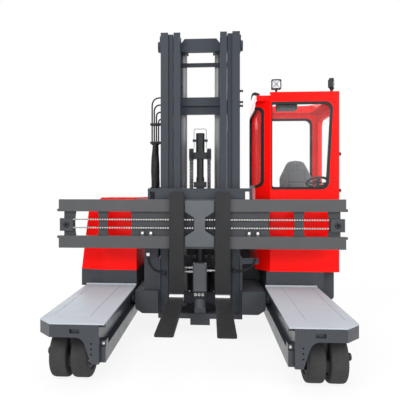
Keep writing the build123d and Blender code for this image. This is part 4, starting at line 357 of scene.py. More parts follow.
def turned(profile, centre, axis, segments, closed=False):
    """Surface of revolution: every (along, radius) of the profile goes round the axis on a circle about the
    centre. A closed profile joins its last point to its first, as on a ring."""
    along, radius = np.asarray(profile, float).T
    angle = np.linspace(0.0, 2 * np.pi, segments, endpoint=False)
    across = radius[:, None] * np.cos(angle)
    up = radius[:, None] * np.sin(angle)
    level = np.broadcast_to(along[:, None], across.shape)
    order = {"x": (level, across, up), "y": (across, level, up), "z": (across, up, level)}[axis]
    points = np.stack(order, axis=-1) + np.asarray(centre)
    return points, grid_faces(len(profile), segments, wrap_rows=closed, wrap_columns=True)


def swept(path, outline, up=(0.0, 0.0, 1.0), looped=False, scale=None):
    """Outline carried along a path: at each path point it stands in the plane across the path, its first axis
    square to the path and to up, times that point's scale. An open path ends in a point at each end's middle,
    which closes it."""
    path = np.asarray(path, float)
    if looped:
        ahead = np.roll(path, -1, axis=0) - np.roll(path, 1, axis=0)
    else:
        ahead = np.gradient(path, axis=0)
    ahead /= np.linalg.norm(ahead, axis=1, keepdims=True)
    side = np.cross(ahead, np.asarray(up, float))
    side /= np.linalg.norm(side, axis=1, keepdims=True)
    lift = np.cross(side, ahead)
    size = np.ones(len(path)) if scale is None else np.asarray(scale, float)
    if not looped:
        keep = np.r_[0, np.arange(len(path)), len(path) - 1]
        path, side, lift = path[keep], side[keep], lift[keep]
        size = np.r_[0.0, size, 0.0]
    outline = np.asarray(outline, float)
    spread = outline[None, :, 0, None] * side[:, None, :] + outline[None, :, 1, None] * lift[:, None, :]
    points = path[:, None, :] + size[:, None, None] * spread
    return points, grid_faces(len(path), len(outline), wrap_rows=looped, wrap_columns=True)


def circle(radius, sides):
    """Points of a circle in its own plane."""
    angle = np.linspace(0.0, 2 * np.pi, sides, endpoint=False)
    return radius * np.stack([np.cos(angle), np.sin(angle)], axis=-1)


def rounded_route(turns, radius, steps=6):
    """Path through turning points, each replaced by a quadratic bend that starts and ends radius away."""
    turns = np.asarray(turns, float)
    before = np.roll(turns, 1, axis=0) - turns
    after = np.roll(turns, -1, axis=0) - turns
    before /= np.linalg.norm(before, axis=1, keepdims=True)
    after /= np.linalg.norm(after, axis=1, keepdims=True)
    t = np.linspace(0.0, 1.0, steps)[None, :, None]
    start = (turns + radius * before)[:, None, :]
    end = (turns + radius * after)[:, None, :]
    bends = (1 - t) ** 2 * start + 2 * t * (1 - t) * turns[:, None, :] + t**2 * end
    return np.concatenate([turns[:1], bends[1:-1].reshape(-1, 3), turns[-1:]])


def stamped(shape, places, turns=None):
    """Copies of one small shape: every point turned by each place's matrix and moved to that place."""
    points = np.asarray(shape[0], float).reshape(-1, 3)
    places = np.asarray(places, float).reshape(-1, 3)
    if turns is None:
        turns = np.broadcast_to(np.eye(3), (len(places), 3, 3))
    copies = np.einsum("pij,vj->pvi", turns, points) + places[:, None, :]
    faces = shape[1][None] + (np.arange(len(places)) * len(points))[:, None, None]
    return copies, faces.reshape(-1, shape[1].shape[1])


def hex_head(radius, height, axis, way=1):
    """Bolt head on its washer: six flats, a chamfered rim and a closed top, standing along the axis."""
    washer, washer_top = 1.35 * radius, 0.12 * height
    profile = [(0.0, 0.0), (0.0, washer), (washer_top, washer), (washer_top, radius),
               (0.85 * height, radius), (height, 0.82 * radius), (height, 0.0)]
    return turned([(way * along, r) for along, r in profile], ORIGIN, axis, 6)


def spread_round(centre, radius, count, axis):
    """Places evenly round a circle about an axis through the centre."""
    angle = np.arange(count) * 2 * np.pi / count
    across, up = radius * np.cos(angle), radius * np.sin(angle)
    flat = np.zeros(count)
    order = {"x": (flat, across, up), "y": (across, flat, up), "z": (across, up, flat)}[axis]
    return np.stack(order, axis=-1) + np.asarray(centre)


def rounded_block(low, high, fullness):
    """Closed block with soft edges: a superellipsoid that fills the box between two corners, squarer as its
    fullness grows."""
    u = np.linspace(-np.pi / 2, np.pi / 2, BLOCK_ROWS)[:, None]
    v = np.linspace(0, 2 * np.pi, BLOCK_COLUMNS, endpoint=False)[None, :]
    level = bowed(np.cos(u), fullness)
    unit = np.stack([level * bowed(np.cos(v), fullness), level * bowed(np.sin(v), fullness),
                     bowed(np.sin(u), fullness) * np.ones_like(v)], axis=-1)
    middle, half = (np.asarray(low) + high) / 2, (np.asarray(high) - low) / 2
    return middle + unit * half, grid_faces(BLOCK_ROWS, BLOCK_COLUMNS, wrap_columns=True)


# Tyres
TYRE_FULLNESS = 5.0
TYRE_SECTION, TYRE_ROUND = 72, 96
TYRE_SEAT = 0.0003
# Rings pressed into the walls: share of the way from bore to tread, half width.
WALL_RINGS = [(0.30, 0.05), (0.72, 0.04)]
WALL_RING_DEPTH = 0.0025
WALL_FROM = 0.9


def tyre_ring(x_mid, y, z, bore, radius, width):
    """Solid tyre: the section is a Lamé curve between bore and tread, with two shallow rings pressed into each
    wall, carried round the axle."""
    t = np.linspace(0.0, 2 * np.pi, TYRE_SECTION, endpoint=False)
    across, rise = bowed(np.cos(t), TYRE_FULLNESS), bowed(np.sin(t), TYRE_FULLNESS)
    level = (bore + radius) / 2 + rise * (radius - bore) / 2
    share = (level - bore) / (radius - bore)
    ring = sum(np.exp(-(((share - at) / wide) ** 2)) for at, wide in WALL_RINGS)
    along = across * (width / 2 - WALL_RING_DEPTH * ring * (np.abs(across) > WALL_FROM))
    return turned(np.stack([along, level], axis=-1), (x_mid, y, z), "x", TYRE_ROUND, closed=True)


# Tyre nodes: node, body, rings, bore, width, gap between rings.
TYRES = [
    ("front_left_tyres", "front_left_wheel", 2, 0.128, 0.137, 0.036),
    ("front_right_tyres", "front_right_wheel", 2, 0.128, 0.137, 0.036),
    ("rear_tyre", "rear_wheel", 1, 0.180, 0.220, 0.0),
]
for tyre, body, rings, bore, width, gap in TYRES:
    low, high = corners(tyre)
    x, y, z = (low + high) / 2
    radius = (high[2] - low[2]) / 2
    offsets = (np.arange(rings) - (rings - 1) / 2) * (width + gap)
    shapes = [tyre_ring(x + shift, y, z, bore + TYRE_SEAT, radius, width) for shift in offsets]
    made = put_mesh(tyre + "_moulded", shapes, TYRE, body)
    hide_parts(tyre)

WHEEL_BOLT_HEIGHT = 0.011
# Wheel bolts: hub node, body, distance of the rim's face from the middle, pitch radius, count, head radius.
WHEEL_BOLTS = [
    ("front_left_hub", "front_left_wheel", 0.107, 0.082, 8, 0.010),
    ("front_right_hub", "front_right_wheel", 0.107, 0.082, 8, 0.010),
    ("rear_hub", "rear_wheel", 0.054, 0.105, 10, 0.012),
]
for hub, body, face_x, pitch, count, head in WHEEL_BOLTS:
    low, high = corners(hub)
    middle = (low + high) / 2
    shapes = []
    for way in (-1, 1):
        places = spread_round(middle + [way * face_x, 0, 0], pitch, count, "x")
        shapes.append(stamped(hex_head(head, WHEEL_BOLT_HEIGHT, "x", way), places))
    put_mesh(hub + "_bolts", shapes, ZINC, body, smooth=False)

# Drive caps that stand out of the front wheels' outer sides.
CAP_REACH = 0.068
CAP_PROFILE = [(-0.020, 0.0), (-0.020, 0.040), (0.004, 0.040), (0.010, 0.034), (0.052, 0.032),
               (CAP_REACH - 0.004, 0.030), (CAP_REACH, 0.024), (CAP_REACH, 0.0)]
for hub, body, way in (("front_left_hub", "front_left_wheel", -1), ("front_right_hub", "front_right_wheel", 1)):
    low, high = corners(hub)
    outer = (low if way < 0 else high)[0]
    axle = (outer, (low[1] + high[1]) / 2, (low[2] + high[2]) / 2)
    cap = turned([(way * along, r) for along, r in CAP_PROFILE], axle, "x", 40)
    put_mesh(hub + "_cap", [cap], BLACK_IRON, body)

# Chains
CHAIN_PITCH = 0.01588
CHAIN_WIDTH = 0.038
SHEAVE_RADIUS = 0.066
CHAIN_FRONT_BOTTOM = 1.220
PLATE_SHIFTS = (-0.0165, -0.0110, -0.0055, 0.0, 0.0055, 0.0110, 0.0165)
CHAIN_THICK = 0.014
PLATE_THICK = 0.0042
PIN_HALF, PIN_RADIUS = 0.019, 0.0042
WAIST_SHARE = 0.36


def link_plate(pitch, height, thick):
    """Chain plate: a round end at each pin joined by a narrower waist, given a thickness along X."""
    angle = np.linspace(-np.pi / 2, np.pi / 2, 5)
    top = np.stack([height / 2 * np.sin(angle), pitch / 2 + height / 2 * np.cos(angle)], axis=-1)
    waist = np.array([[WAIST_SHARE * height, 0.0]])
    outline = np.concatenate([top, waist, -top, -waist])
    path = np.array([[-thick / 2, 0, 0], [thick / 2, 0, 0]])
    return swept(path, outline)


def chain_route(sheave_y, sheave_z, radius, front_z, rear_z, spacing, first):
    """Evenly spaced points and headings up the front run, over the sheave and down the rear run, from a first
    point that far along."""
    front, arc, rear = sheave_z - front_z, np.pi * radius, sheave_z - rear_z
    s = np.arange(first, front + arc + rear - spacing / 2, spacing)
    turn = np.clip((s - front) / radius, 0.0, np.pi)
    y = sheave_y - radius * np.cos(turn)
    z = sheave_z + radius * np.sin(turn) - np.maximum(front - s, 0) - np.maximum(s - front - arc, 0)
    return np.stack([np.zeros_like(s), y, z], axis=-1), turn


def rod(half, radius, axis, sides):
    """Closed round bar of one radius, reaching half its length each way along the axis."""
    return turned([(-half, 0.0), (-half, radius), (half, radius), (half, 0.0)], ORIGIN, axis, sides)


chain_low, chain_high = corners("lift_chains")
sheave_y = (chain_low[1] + chain_high[1]) / 2
sheave_z = chain_high[2] - SHEAVE_RADIUS
chain_mid = SHEAVE_RADIUS - CHAIN_THICK / 2
chain_run = (sheave_y, sheave_z, chain_mid, CHAIN_FRONT_BOTTOM, chain_low[2], CHAIN_PITCH)
middles, turn = chain_route(*chain_run, CHAIN_PITCH / 2)
pin_places, _ = chain_route(*chain_run, CHAIN_PITCH)
link_turns = np.zeros((len(turn), 3, 3))
link_turns[:, 0, 0] = 1.0
link_turns[:, 1, 1] = link_turns[:, 2, 2] = np.cos(turn)
link_turns[:, 1, 2], link_turns[:, 2, 1] = np.sin(turn), -np.sin(turn)
chain_x = chain_high[0] - CHAIN_WIDTH / 2
plate = link_plate(CHAIN_PITCH, CHAIN_THICK, PLATE_THICK)
pin = rod(PIN_HALF, PIN_RADIUS, "x", 8)
chain_shapes = []
for side in (-1, 1):
    for row, shift in enumerate(PLATE_SHIFTS):
        chosen = np.arange(len(turn)) % 2 == row % 2
        places = middles[chosen] + [side * chain_x + shift, 0, 0]
        chain_shapes.append(stamped(plate, places, link_turns[chosen]))
    chain_shapes.append(stamped(pin, pin_places + [side * chain_x, 0, 0]))
links = put_mesh("lift_chain_links", chain_shapes, CHAIN, "crosshead", smooth=False)
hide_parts("lift_chains")

# The middle stage's chains, straight up between its beams beside the inner columns.
STAGE_CHAIN_X = 0.214
STAGE_CHAIN_Y = 0.335
STAGE_CHAIN_RUN = (2.540, 3.105)
stage_z = np.arange(STAGE_CHAIN_RUN[0], STAGE_CHAIN_RUN[1], CHAIN_PITCH)
stage_shapes = []
for side in (-1, 1):
    for row, shift in enumerate(PLATE_SHIFTS[1:-1]):
        heights = stage_z[np.arange(len(stage_z)) % 2 == row % 2]
        places = [(side * STAGE_CHAIN_X + shift, STAGE_CHAIN_Y, z) for z in heights]
        stage_shapes.append(stamped(plate, places))
put_mesh("stage_chain_links", stage_shapes, CHAIN, "middle_stage", smooth=False)

# Rollers strung along the fork positioner's chain.
RUN_END = 1.318
RUN_HEIGHTS = (1.157, 1.243)
RUN_BEHIND_BARS = 0.018
ROLLER_PITCH = 0.0254
ROLLER_HALF, ROLLER_RADIUS = 0.008, 0.0085
bar_low, _ = corners("fork_bars")
roller = rod(ROLLER_HALF, ROLLER_RADIUS, "y", 10)
roller_x = np.arange(-RUN_END, RUN_END, ROLLER_PITCH)
roller_shapes = []
for run_z in RUN_HEIGHTS:
    places = [(x, bar_low[1] + RUN_BEHIND_BARS, run_z) for x in roller_x]
    roller_shapes.append(stamped(roller, places))
put_mesh("positioner_chain_rollers", roller_shapes, BRIGHT_CHAIN, "carriage", smooth=False)

# Wire guard over the free-lift crosshead.
GUARD_HALF = 0.066
GUARD_TOP = 2.212
GUARD_FOOT = 2.000
GUARD_BEND = 0.016
GUARD_WIRE = 0.0028
guard_y = sheave_y - 0.05
guard_turns = [(-GUARD_HALF, guard_y, GUARD_FOOT), (-GUARD_HALF, guard_y, GUARD_TOP),
               (GUARD_HALF, guard_y, GUARD_TOP), (GUARD_HALF, guard_y, GUARD_FOOT)]
guard = swept(rounded_route(guard_turns, GUARD_BEND), circle(GUARD_WIRE, 8), up=(0, 1, 0))
put_mesh("crosshead_wire_guard", [guard], CHAIN, "crosshead")

# Bolts on the carriage's lugs, low enough for the forks to slide past.
LUG_X = (0.506, 0.594)
LUG_BOLT_RADIUS, LUG_BOLT_HEIGHT = 0.0105, 0.003
lug_face, lug_bolt_z = bar_low[1] + 0.004, bar_low[2] + 0.159
bolt = hex_head(LUG_BOLT_RADIUS, LUG_BOLT_HEIGHT, "y", -1)
lug_bolts = [(side * x, lug_face, lug_bolt_z) for side in (-1, 1) for x in LUG_X]
put_mesh("carriage_bolts", [stamped(bolt, lug_bolts)], ZINC, "carriage", smooth=False)

# A ring nut round the bore of each end block.
BOSS_X, BOSS_Z = 1.3965, 1.1885
RING_NUT = [(0.0, 0.020), (-0.007, 0.020), (-0.007, 0.027), (-0.005, 0.030), (0.0, 0.030)]
ring_nut = turned(RING_NUT, ORIGIN, "y", 32, closed=True)
ring_places = [(side * BOSS_X, bar_low[1], BOSS_Z) for side in (-1, 1)]
put_mesh("end_block_ring_nuts", [stamped(ring_nut, ring_places)], BLACK_IRON, "carriage")

# Lamps: place of each lens, turn about Z in degrees.
LAMP_LENSES = [((0.826, NOSE_Y + 1.525, 2.702), 0.0), ((1.420, NOSE_Y + 1.525, 2.702), 70.0)]
LENS_HALF = 0.0415
LENS_FORWARD = 0.0185
LENS_CROWN, LENS_THICK = 0.006, 0.003
LENS_FULLNESS = 9.0
LENS_ROUND = 64
RIB_CROWN, RIB_LIFT, RIB_RADIUS = 0.0068, 0.0006, 0.0022
RIB_REACH = 0.8


def lamp_lens(half, crown, thick):
    """Closed lens: rings of a squared circle from the middle to the rim, bulging as a parabola of the ring, then
    over the rim and back to the middle on a flat sheet behind."""
    ring = np.linspace(0.0, 1.0, 13)
    share = np.r_[ring, 1.0, 0.0][:, None]
    level = np.r_[-crown * (1 - ring**2), thick, thick][:, None]
    angle = np.linspace(0.0, 2 * np.pi, LENS_ROUND, endpoint=False)[None, :]
    across, up = bowed(np.cos(angle), LENS_FULLNESS), bowed(np.sin(angle), LENS_FULLNESS)
    points = np.stack([half * share * across, level + 0 * angle, half * share * up], axis=-1)
    return points, grid_faces(len(share), LENS_ROUND, wrap_columns=True)


lens_shapes, cross_shapes = [], []
for place, degrees in LAMP_LENSES:
    c, s = math.cos(math.radians(degrees)), math.sin(math.radians(degrees))
    facing = np.array([[[c, -s, 0], [s, c, 0], [0, 0, 1]]])
    face = np.array(place) + facing[0] @ [0, -LENS_FORWARD, 0]
    lens_shapes.append(stamped(lamp_lens(LENS_HALF, LENS_CROWN, LENS_THICK), [face], facing))
    for way in (-1, 1):
        t = np.linspace(-RIB_REACH, RIB_REACH, 9)
        ridge = np.stack([LENS_HALF * t, -RIB_CROWN * (1 - t**2) ** 2 - RIB_LIFT, way * LENS_HALF * t], axis=-1)
        cross_shapes.append(stamped(swept(ridge, circle(RIB_RADIUS, 6), up=(0, 1, 0)), [face], facing))
put_mesh("lamp_lenses", lens_shapes, LENS, "chassis")
put_mesh("lamp_reflector_ribs", cross_shapes, PLASTIC, "chassis")

# Steering wheel
WHEEL_MIDDLE = np.array([1.295, NOSE_Y + 1.640, 1.640])
WHEEL_TILT = math.radians(-25)
WHEEL_RADIUS = 0.115
RIM_RADIUS = 0.0138
BOSS_PROFILE = [(-0.097, 0.0), (-0.097, 0.0215), (-0.020, 0.0215), (-0.012, 0.040), (0.006, 0.042),
                (0.014, 0.034), (0.016, 0.0)]
SPOKE_ANGLES = (0.0, np.pi, 1.5 * np.pi)
SPOKE_FROM, SPOKE_TO = 0.030, WHEEL_RADIUS - 0.006
SPOKE_DROOP = 0.012
SPOKE_OVAL = circle(1.0, 12) * [0.013, 0.006]
tilt_c, tilt_s = math.cos(WHEEL_TILT), math.sin(WHEEL_TILT)
wheel_turn = np.array([[[1, 0, 0], [0, tilt_c, -tilt_s], [0, tilt_s, tilt_c]]])
rim_path = np.c_[circle(WHEEL_RADIUS, 72), np.zeros(72)]
rim = swept(rim_path, circle(RIM_RADIUS, 14), looped=True)
boss = turned(BOSS_PROFILE, ORIGIN, "z", 40)
spokes = []
for angle in SPOKE_ANGLES:
    reach = np.linspace(SPOKE_FROM, SPOKE_TO, 10)
    droop = -SPOKE_DROOP * np.sin((reach - SPOKE_FROM) / (SPOKE_TO - SPOKE_FROM) * np.pi)
    spoke = np.stack([reach * np.cos(angle), reach * np.sin(angle), droop], axis=-1)
    spokes.append(swept(spoke, SPOKE_OVAL))
wheel_shapes = [stamped(shape, [WHEEL_MIDDLE], wheel_turn) for shape in [rim, boss, *spokes]]
steering = put_mesh("steering_wheel_moulded", wheel_shapes, PLASTIC, "chassis")
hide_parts("steering_wheel")

# Two knobs on the rear face of the overhead radio, which the driver sees.
KNOB_PROFILE = [(0.0, 0.0), (0.0, 0.017), (0.014, 0.015), (0.017, 0.012), (0.017, 0.0)]
KNOB_INSET = 0.035
radio_low, radio_high = corners("overhead_radio")
radio_z = (radio_low[2] + radio_high[2]) / 2
knob_places = [(x, radio_high[1], radio_z) for x in (radio_low[0] + KNOB_INSET, radio_high[0] - KNOB_INSET)]
knobs = stamped(turned(KNOB_PROFILE, ORIGIN, "y", 24), knob_places)
put_mesh("radio_knobs", [knobs], PLASTIC, "chassis")

# Seat cushions
SEAT_X = 1.165
SEAT_Y = NOSE_Y + 1.920
SEAM_X = 0.105
SEAM_SETBACK = 0.030
SEAM_REACH = 0.17
BACK_SEAM_X, BACK_PANEL = 0.098, 0.100
BACK_SEAM_LEVELS = (1.520, 1.650, 1.785)
HEAD_FROM = BACK_SEAM_LEVELS[-1]
BACK_ROWS, BACK_COLUMNS = 48, 80
BACK_FULLNESS = 4.0
SHOULDER = 0.62
HEAD_NARROWING = 0.56
TOP_THINNING = 0.25
CUSHION_VOXEL = 0.006
CUSHION_PRESSURE = 4.0
CUSHION_FRAMES = 20
CUSHION_SWELL = 0.012


def backrest_block(x_mid, front_y, lean, bottom_z, top_z, half_width, thick):
    """Closed backrest blank: at each height an oval section, full width up to the shoulders and then drawn in to
    the narrow head, leaning back with height."""
    v = np.linspace(0.0, 1.0, BACK_ROWS)[:, None]
    a = np.linspace(0, 2 * np.pi, BACK_COLUMNS, endpoint=False)[None, :]
    drawn_in = np.clip((v - SHOULDER) / (1 - SHOULDER), 0, 1)
    width = half_width * (1 - HEAD_NARROWING * drawn_in**1.1) * (1 - (2 * v - 1) ** 20) ** 0.5
    depth = thick / 2 * (1 - TOP_THINNING * v) * (1 - (2 * v - 1) ** 10) ** 0.5
    across, out = bowed(np.cos(a), BACK_FULLNESS), bowed(np.sin(a), BACK_FULLNESS)
    points = np.stack([x_mid + width * across, front_y + thick / 2 + lean * v + depth * out,
                       bottom_z + (top_z - bottom_z) * v + 0 * a], axis=-1)
    return points, grid_faces(BACK_ROWS, BACK_COLUMNS, wrap_columns=True)


def mesh_points(mesh):
    """All points of a mesh as one array."""
    points = np.empty(3 * len(mesh.vertices), dtype=np.float32)
    mesh.vertices.foreach_get("co", points)
    return points.reshape(-1, 3).astype(float)


def stuffed(name, blank, channels):
    """Padded piece: the blank is remeshed in voxels and blown up as cloth under pressure, no point moving more
    than the swell; then each sewn channel presses its line in, as a bell curve of the distance from the line."""
    piece = put_mesh(name, [blank], SEAT_CLOTH, "chassis")
    voxels = piece.modifiers.new("voxels", "REMESH")
    voxels.mode = "VOXEL"
    voxels.voxel_size = CUSHION_VOXEL
    remeshed = bpy.data.meshes.new_from_object(piece.evaluated_get(bpy.context.evaluated_depsgraph_get()))
    piece.modifiers.clear()
    piece.data = remeshed
    rest = mesh_points(remeshed)
    cloth = piece.modifiers.new("stuffing", "CLOTH")
    cloth.settings.use_pressure = True
    cloth.settings.uniform_pressure_force = CUSHION_PRESSURE
    cloth.settings.effector_weights.gravity = 0.0
    for step in range(1, CUSHION_FRAMES + 1):
        scene.frame_set(step)
    blown = mesh_points(piece.evaluated_get(bpy.context.evaluated_depsgraph_get()).to_mesh())
    piece.modifiers.clear()
    scene.frame_set(1)
    move = blown - rest
    length = np.linalg.norm(move, axis=1, keepdims=True)
    rest = rest + move * np.minimum(1.0, CUSHION_SWELL / np.maximum(length, 1e-9))
    remeshed.vertices.foreach_set("co", rest.astype(np.float32).ravel())
    remeshed.update()
    normals = np.empty(3 * len(rest), dtype=np.float32)
    remeshed.vertices.foreach_get("normal", normals)
    normals = normals.reshape(-1, 3)
    press = np.zeros(len(rest))
    for distance, depth, width, chosen in channels(rest, normals):
        press = np.maximum(press, chosen * depth * np.exp(-((distance / width) ** 2)))
    remeshed.vertices.foreach_set("co", (rest - press[:, None] * normals).astype(np.float32).ravel())
    remeshed.update()
    remeshed.materials.clear()
    remeshed.materials.append(SEAT_CLOTH)
    remeshed.shade_smooth()
    smoothing = piece.modifiers.new("smoothing", "SUBSURF")
    smoothing.levels = smoothing.render_levels = 1
    return piece


def cushion_channels(points, normals):
    """Two seams front to back and one across, on the cushion's top: distance, depth, width, where."""
    top = np.clip(normals[:, 2], 0, 1)
    across, along = points[:, 0] - SEAT_X, points[:, 1] - SEAT_Y + SEAM_SETBACK
    inside = (np.abs(along) < SEAM_REACH) * top
    yield across - SEAM_X, 0.011, 0.008, inside
    yield across + SEAM_X, 0.011, 0.008, inside
    yield along, 0.009, 0.008, (np.abs(across) < SEAM_X) * top


def backrest_channels(points, normals):
    """The front panel's seams: an upright each side, three levels between them and one upright in the head."""
    front = np.clip(-normals[:, 1], 0, 1)
    across, height = np.abs(points[:, 0] - SEAT_X), points[:, 2]
    yield across - BACK_SEAM_X, 0.010, 0.007, (height < HEAD_FROM) * front
    for level in BACK_SEAM_LEVELS:
        yield height - level, 0.010, 0.007, (across < BACK_PANEL) * front
    yield across, 0.009, 0.006, (height > HEAD_FROM) * front


# Room left inside each CAD solid for the swelling: at its low corner, at its high corner.
CUSHION_ROOM = (np.array([0.008, 0.008, 0.002]), np.array([0.008, 0.008, 0.008]))
CUSHION_FULLNESS = 6.0
BACK_ROOM_FRONT, BACK_ROOM_BELOW, BACK_ROOM_ABOVE = 0.014, 0.010, 0.004
BACK_LEAN, BACK_HALF_WIDTH, BACK_THICK = 0.062, 0.210, 0.088
cushion_low, cushion_high = corners("seat_cushion")
cushion_blank = rounded_block(cushion_low + CUSHION_ROOM[0], cushion_high - CUSHION_ROOM[1], CUSHION_FULLNESS)
cushion = stuffed("seat_cushion_padded", cushion_blank, cushion_channels)
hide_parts("seat_cushion")
back_low, back_high = corners("seat_backrest")
back_blank = backrest_block(SEAT_X, back_low[1] + BACK_ROOM_FRONT, BACK_LEAN, back_low[2] + BACK_ROOM_BELOW,
                            back_high[2] - BACK_ROOM_ABOVE, BACK_HALF_WIDTH, BACK_THICK)
backrest = stuffed("seat_backrest_padded", back_blank, backrest_channels)
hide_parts("seat_backrest")

# Small trim on the cab: a curved hook at the roof's mast-side corner, hinge covers, a grab handle on the door.
# Hook stations: across and up from the roof's corner, scale of the section there.
HOOK_STATIONS = [(0.034, -0.030, 0.8), (0.012, -0.018, 1.0), (-0.014, -0.008, 1.0), (-0.036, -0.012, 0.75),
                 (-0.049, -0.036, 0.40), (-0.058, -0.080, 0.15)]
HOOK_SECTION = circle(1.0, 12) * [0.018, 0.024]
HOOK_SETBACK = 0.040
roof_low, roof_high = corners("cab_roof")
hook_corner = np.array([roof_low[0], roof_low[1] + HOOK_SETBACK, roof_high[2]])
hook_path = hook_corner + [(across, 0.0, up) for across, up, _ in HOOK_STATIONS]
hook = swept(hook_path, HOOK_SECTION, up=(0, 1, 0), scale=[size for _, _, size in HOOK_STATIONS])
put_mesh("roof_corner_hook", [hook], PLASTIC, "chassis")
CAB_OUTER = 1.482
COVER_Y = NOSE_Y + 1.482
COVER_HEIGHTS = (1.547, 1.938)
COVER_PROFILE = [(0.0, 0.0), (0.0, 0.022), (0.016, 0.020), (0.025, 0.013), (0.028, 0.0)]
covers = stamped(turned(COVER_PROFILE, ORIGIN, "x", 24), [(CAB_OUTER, COVER_Y, z) for z in COVER_HEIGHTS])
put_mesh("hinge_covers", [covers], PLASTIC, "chassis")
HANDLE_FOOT, HANDLE_TOP = 1.180, 1.420
HANDLE_BEND, HANDLE_RADIUS = 0.010, 0.0075
handle_in, handle_out = CAB_OUTER - 0.002, CAB_OUTER + 0.018
handle_y = corners("cab_door")[1][1] - 0.060
handle_turns = [(handle_in, handle_y, HANDLE_FOOT), (handle_out, handle_y, HANDLE_FOOT),
                (handle_out, handle_y, HANDLE_TOP), (handle_in, handle_y, HANDLE_TOP)]
handle = swept(rounded_route(handle_turns, HANDLE_BEND), circle(HANDLE_RADIUS, 12), up=(0, 1, 0))
put_mesh("door_handle", [handle], PLASTIC, "door")

# Pipe fittings on the mast's right side.
OUTER_HALF = 0.426
FITTING_HEIGHTS = (2.62, 2.50, 2.46)
FITTING_PROFILE = [(0.0, 0.0), (0.0, 0.016), (0.010, 0.016), (0.010, 0.010), (0.024, 0.010), (0.024, 0.014),
                   (0.036, 0.014), (0.036, 0.0)]
COLUMN_FRONT = float(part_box("outer_mast")[0][1])
fitting_y = COLUMN_FRONT + 0.05
fittings = stamped(turned(FITTING_PROFILE, ORIGIN, "x", 6), [(OUTER_HALF, fitting_y, z) for z in FITTING_HEIGHTS])
put_mesh("mast_pipe_fittings", [fittings], RUBBER, "reach", smooth=False)

# Valve block with its ports on the manifold's face, and unions at the manifold's ends.
VALVE_FULLNESS = 9.0
PORT_X, PORT_Z = (-0.046, -0.008, 0.030), 0.452
PORT_PROFILE = [(0.0, 0.0075), (-0.010, 0.0075), (-0.010, 0.0125), (-0.008, 0.0145), (0.0, 0.0145)]
UNION_PROFILE = [(0.0, 0.0), (0.0, 0.014), (0.014, 0.014), (0.014, 0.009), (0.030, 0.009), (0.030, 0.013),
                 (0.046, 0.013), (0.046, 0.007), (0.085, 0.007), (0.085, 0.0)]
manifold_low, manifold_high = corners("hydraulic_manifold")
valve_low = np.array([-0.080, manifold_low[1] - 0.012, 0.405])
valve_high = np.array([0.074, manifold_low[1] + 0.040, 0.482])
valve = rounded_block(valve_low, valve_high, VALVE_FULLNESS)
put_mesh("valve_block", [valve], BLACK_IRON, "reach")
port = turned(PORT_PROFILE, ORIGIN, "y", 20, closed=True)
ports = stamped(port, [(x, valve_low[1], PORT_Z) for x in PORT_X])
put_mesh("valve_ports", [ports], ZINC, "reach")
union_y = (manifold_low[1] + manifold_high[1]) / 2
union_places = [(manifold_low[0], union_y, 0.723), (manifold_low[0], union_y, 0.680),
                (manifold_high[0], union_y, 0.694)]
to_left, to_right = np.diag([-1.0, -1.0, 1.0]), np.eye(3)
unions = stamped(turned(UNION_PROFILE, ORIGIN, "x", 6), union_places, np.array([to_left, to_left, to_right]))
put_mesh("manifold_unions", [unions], ZINC, "reach", smooth=False)

# Stop bolts on the rails' front ends.
STOP_BOLTS = [(side * 0.718, NOSE_Y + 0.060, 0.352) for side in (-1, 1)]
STOP_BOLT_RADIUS, STOP_BOLT_HEIGHT = 0.009, 0.010
stop_bolts = stamped(hex_head(STOP_BOLT_RADIUS, STOP_BOLT_HEIGHT, "y", -1), STOP_BOLTS)
put_mesh("rail_stop_bolts", [stop_bolts], ZINC, "chassis", smooth=False)

# Hose sleeve up the mast's left side, its clamps, and the pipes that turn in to the mast above it.
HOSE_X, HOSE_Y = -0.502, 0.260
SLEEVE_FOOT, SLEEVE_SHOULDER, SLEEVE_TOP = 0.485, 1.840, 2.075
SLEEVE_RADIUS, SLEEVE_NECK = 0.046, 0.031


def hose_sleeve(rows=120, columns=40):
    """Woven sleeve: a tube straight up to its shoulder and tapered to its neck, whose radius swells and sinks on
    two slow twisted waves, like cloth over hoses."""
    z = np.linspace(SLEEVE_FOOT, SLEEVE_TOP, rows)[:, None]
    angle = np.linspace(0.0, 2 * np.pi, columns, endpoint=False)[None, :]
    drawn_in = np.clip((z - SLEEVE_SHOULDER) / (SLEEVE_TOP - SLEEVE_SHOULDER), 0, 1)
    plain = SLEEVE_RADIUS + (SLEEVE_NECK - SLEEVE_RADIUS) * drawn_in
    folds = 0.0022 * np.sin(3 * angle + 16 * z) + 0.0014 * np.sin(5 * angle - 27 * z)
    radius = np.concatenate([0 * angle, plain + folds, 0 * angle])
    height = np.concatenate([z[:1], z, z[-1:]]) + 0 * angle
    points = np.stack([HOSE_X + radius * np.cos(angle), HOSE_Y + radius * np.sin(angle), height], axis=-1)
    return points, grid_faces(rows + 2, columns, wrap_columns=True)


CLAMP_HEIGHTS = (1.000, 1.560, 2.066, 2.270)
CLAMP_REACH, CLAMP_HALF, CLAMP_TALL = 0.057, 0.034, 0.026
CLAMP_FULLNESS = 6.0
clamps = []
for z in CLAMP_HEIGHTS:
    low = (HOSE_X - CLAMP_REACH, HOSE_Y - CLAMP_HALF, z)
    high = (-OUTER_HALF, HOSE_Y + CLAMP_HALF, z + CLAMP_TALL)
    clamps.append(rounded_block(low, high, CLAMP_FULLNESS))
sleeve = put_mesh("hose_sleeve", [hose_sleeve(), *clamps], RUBBER, "reach")
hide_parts("hose_bundle")
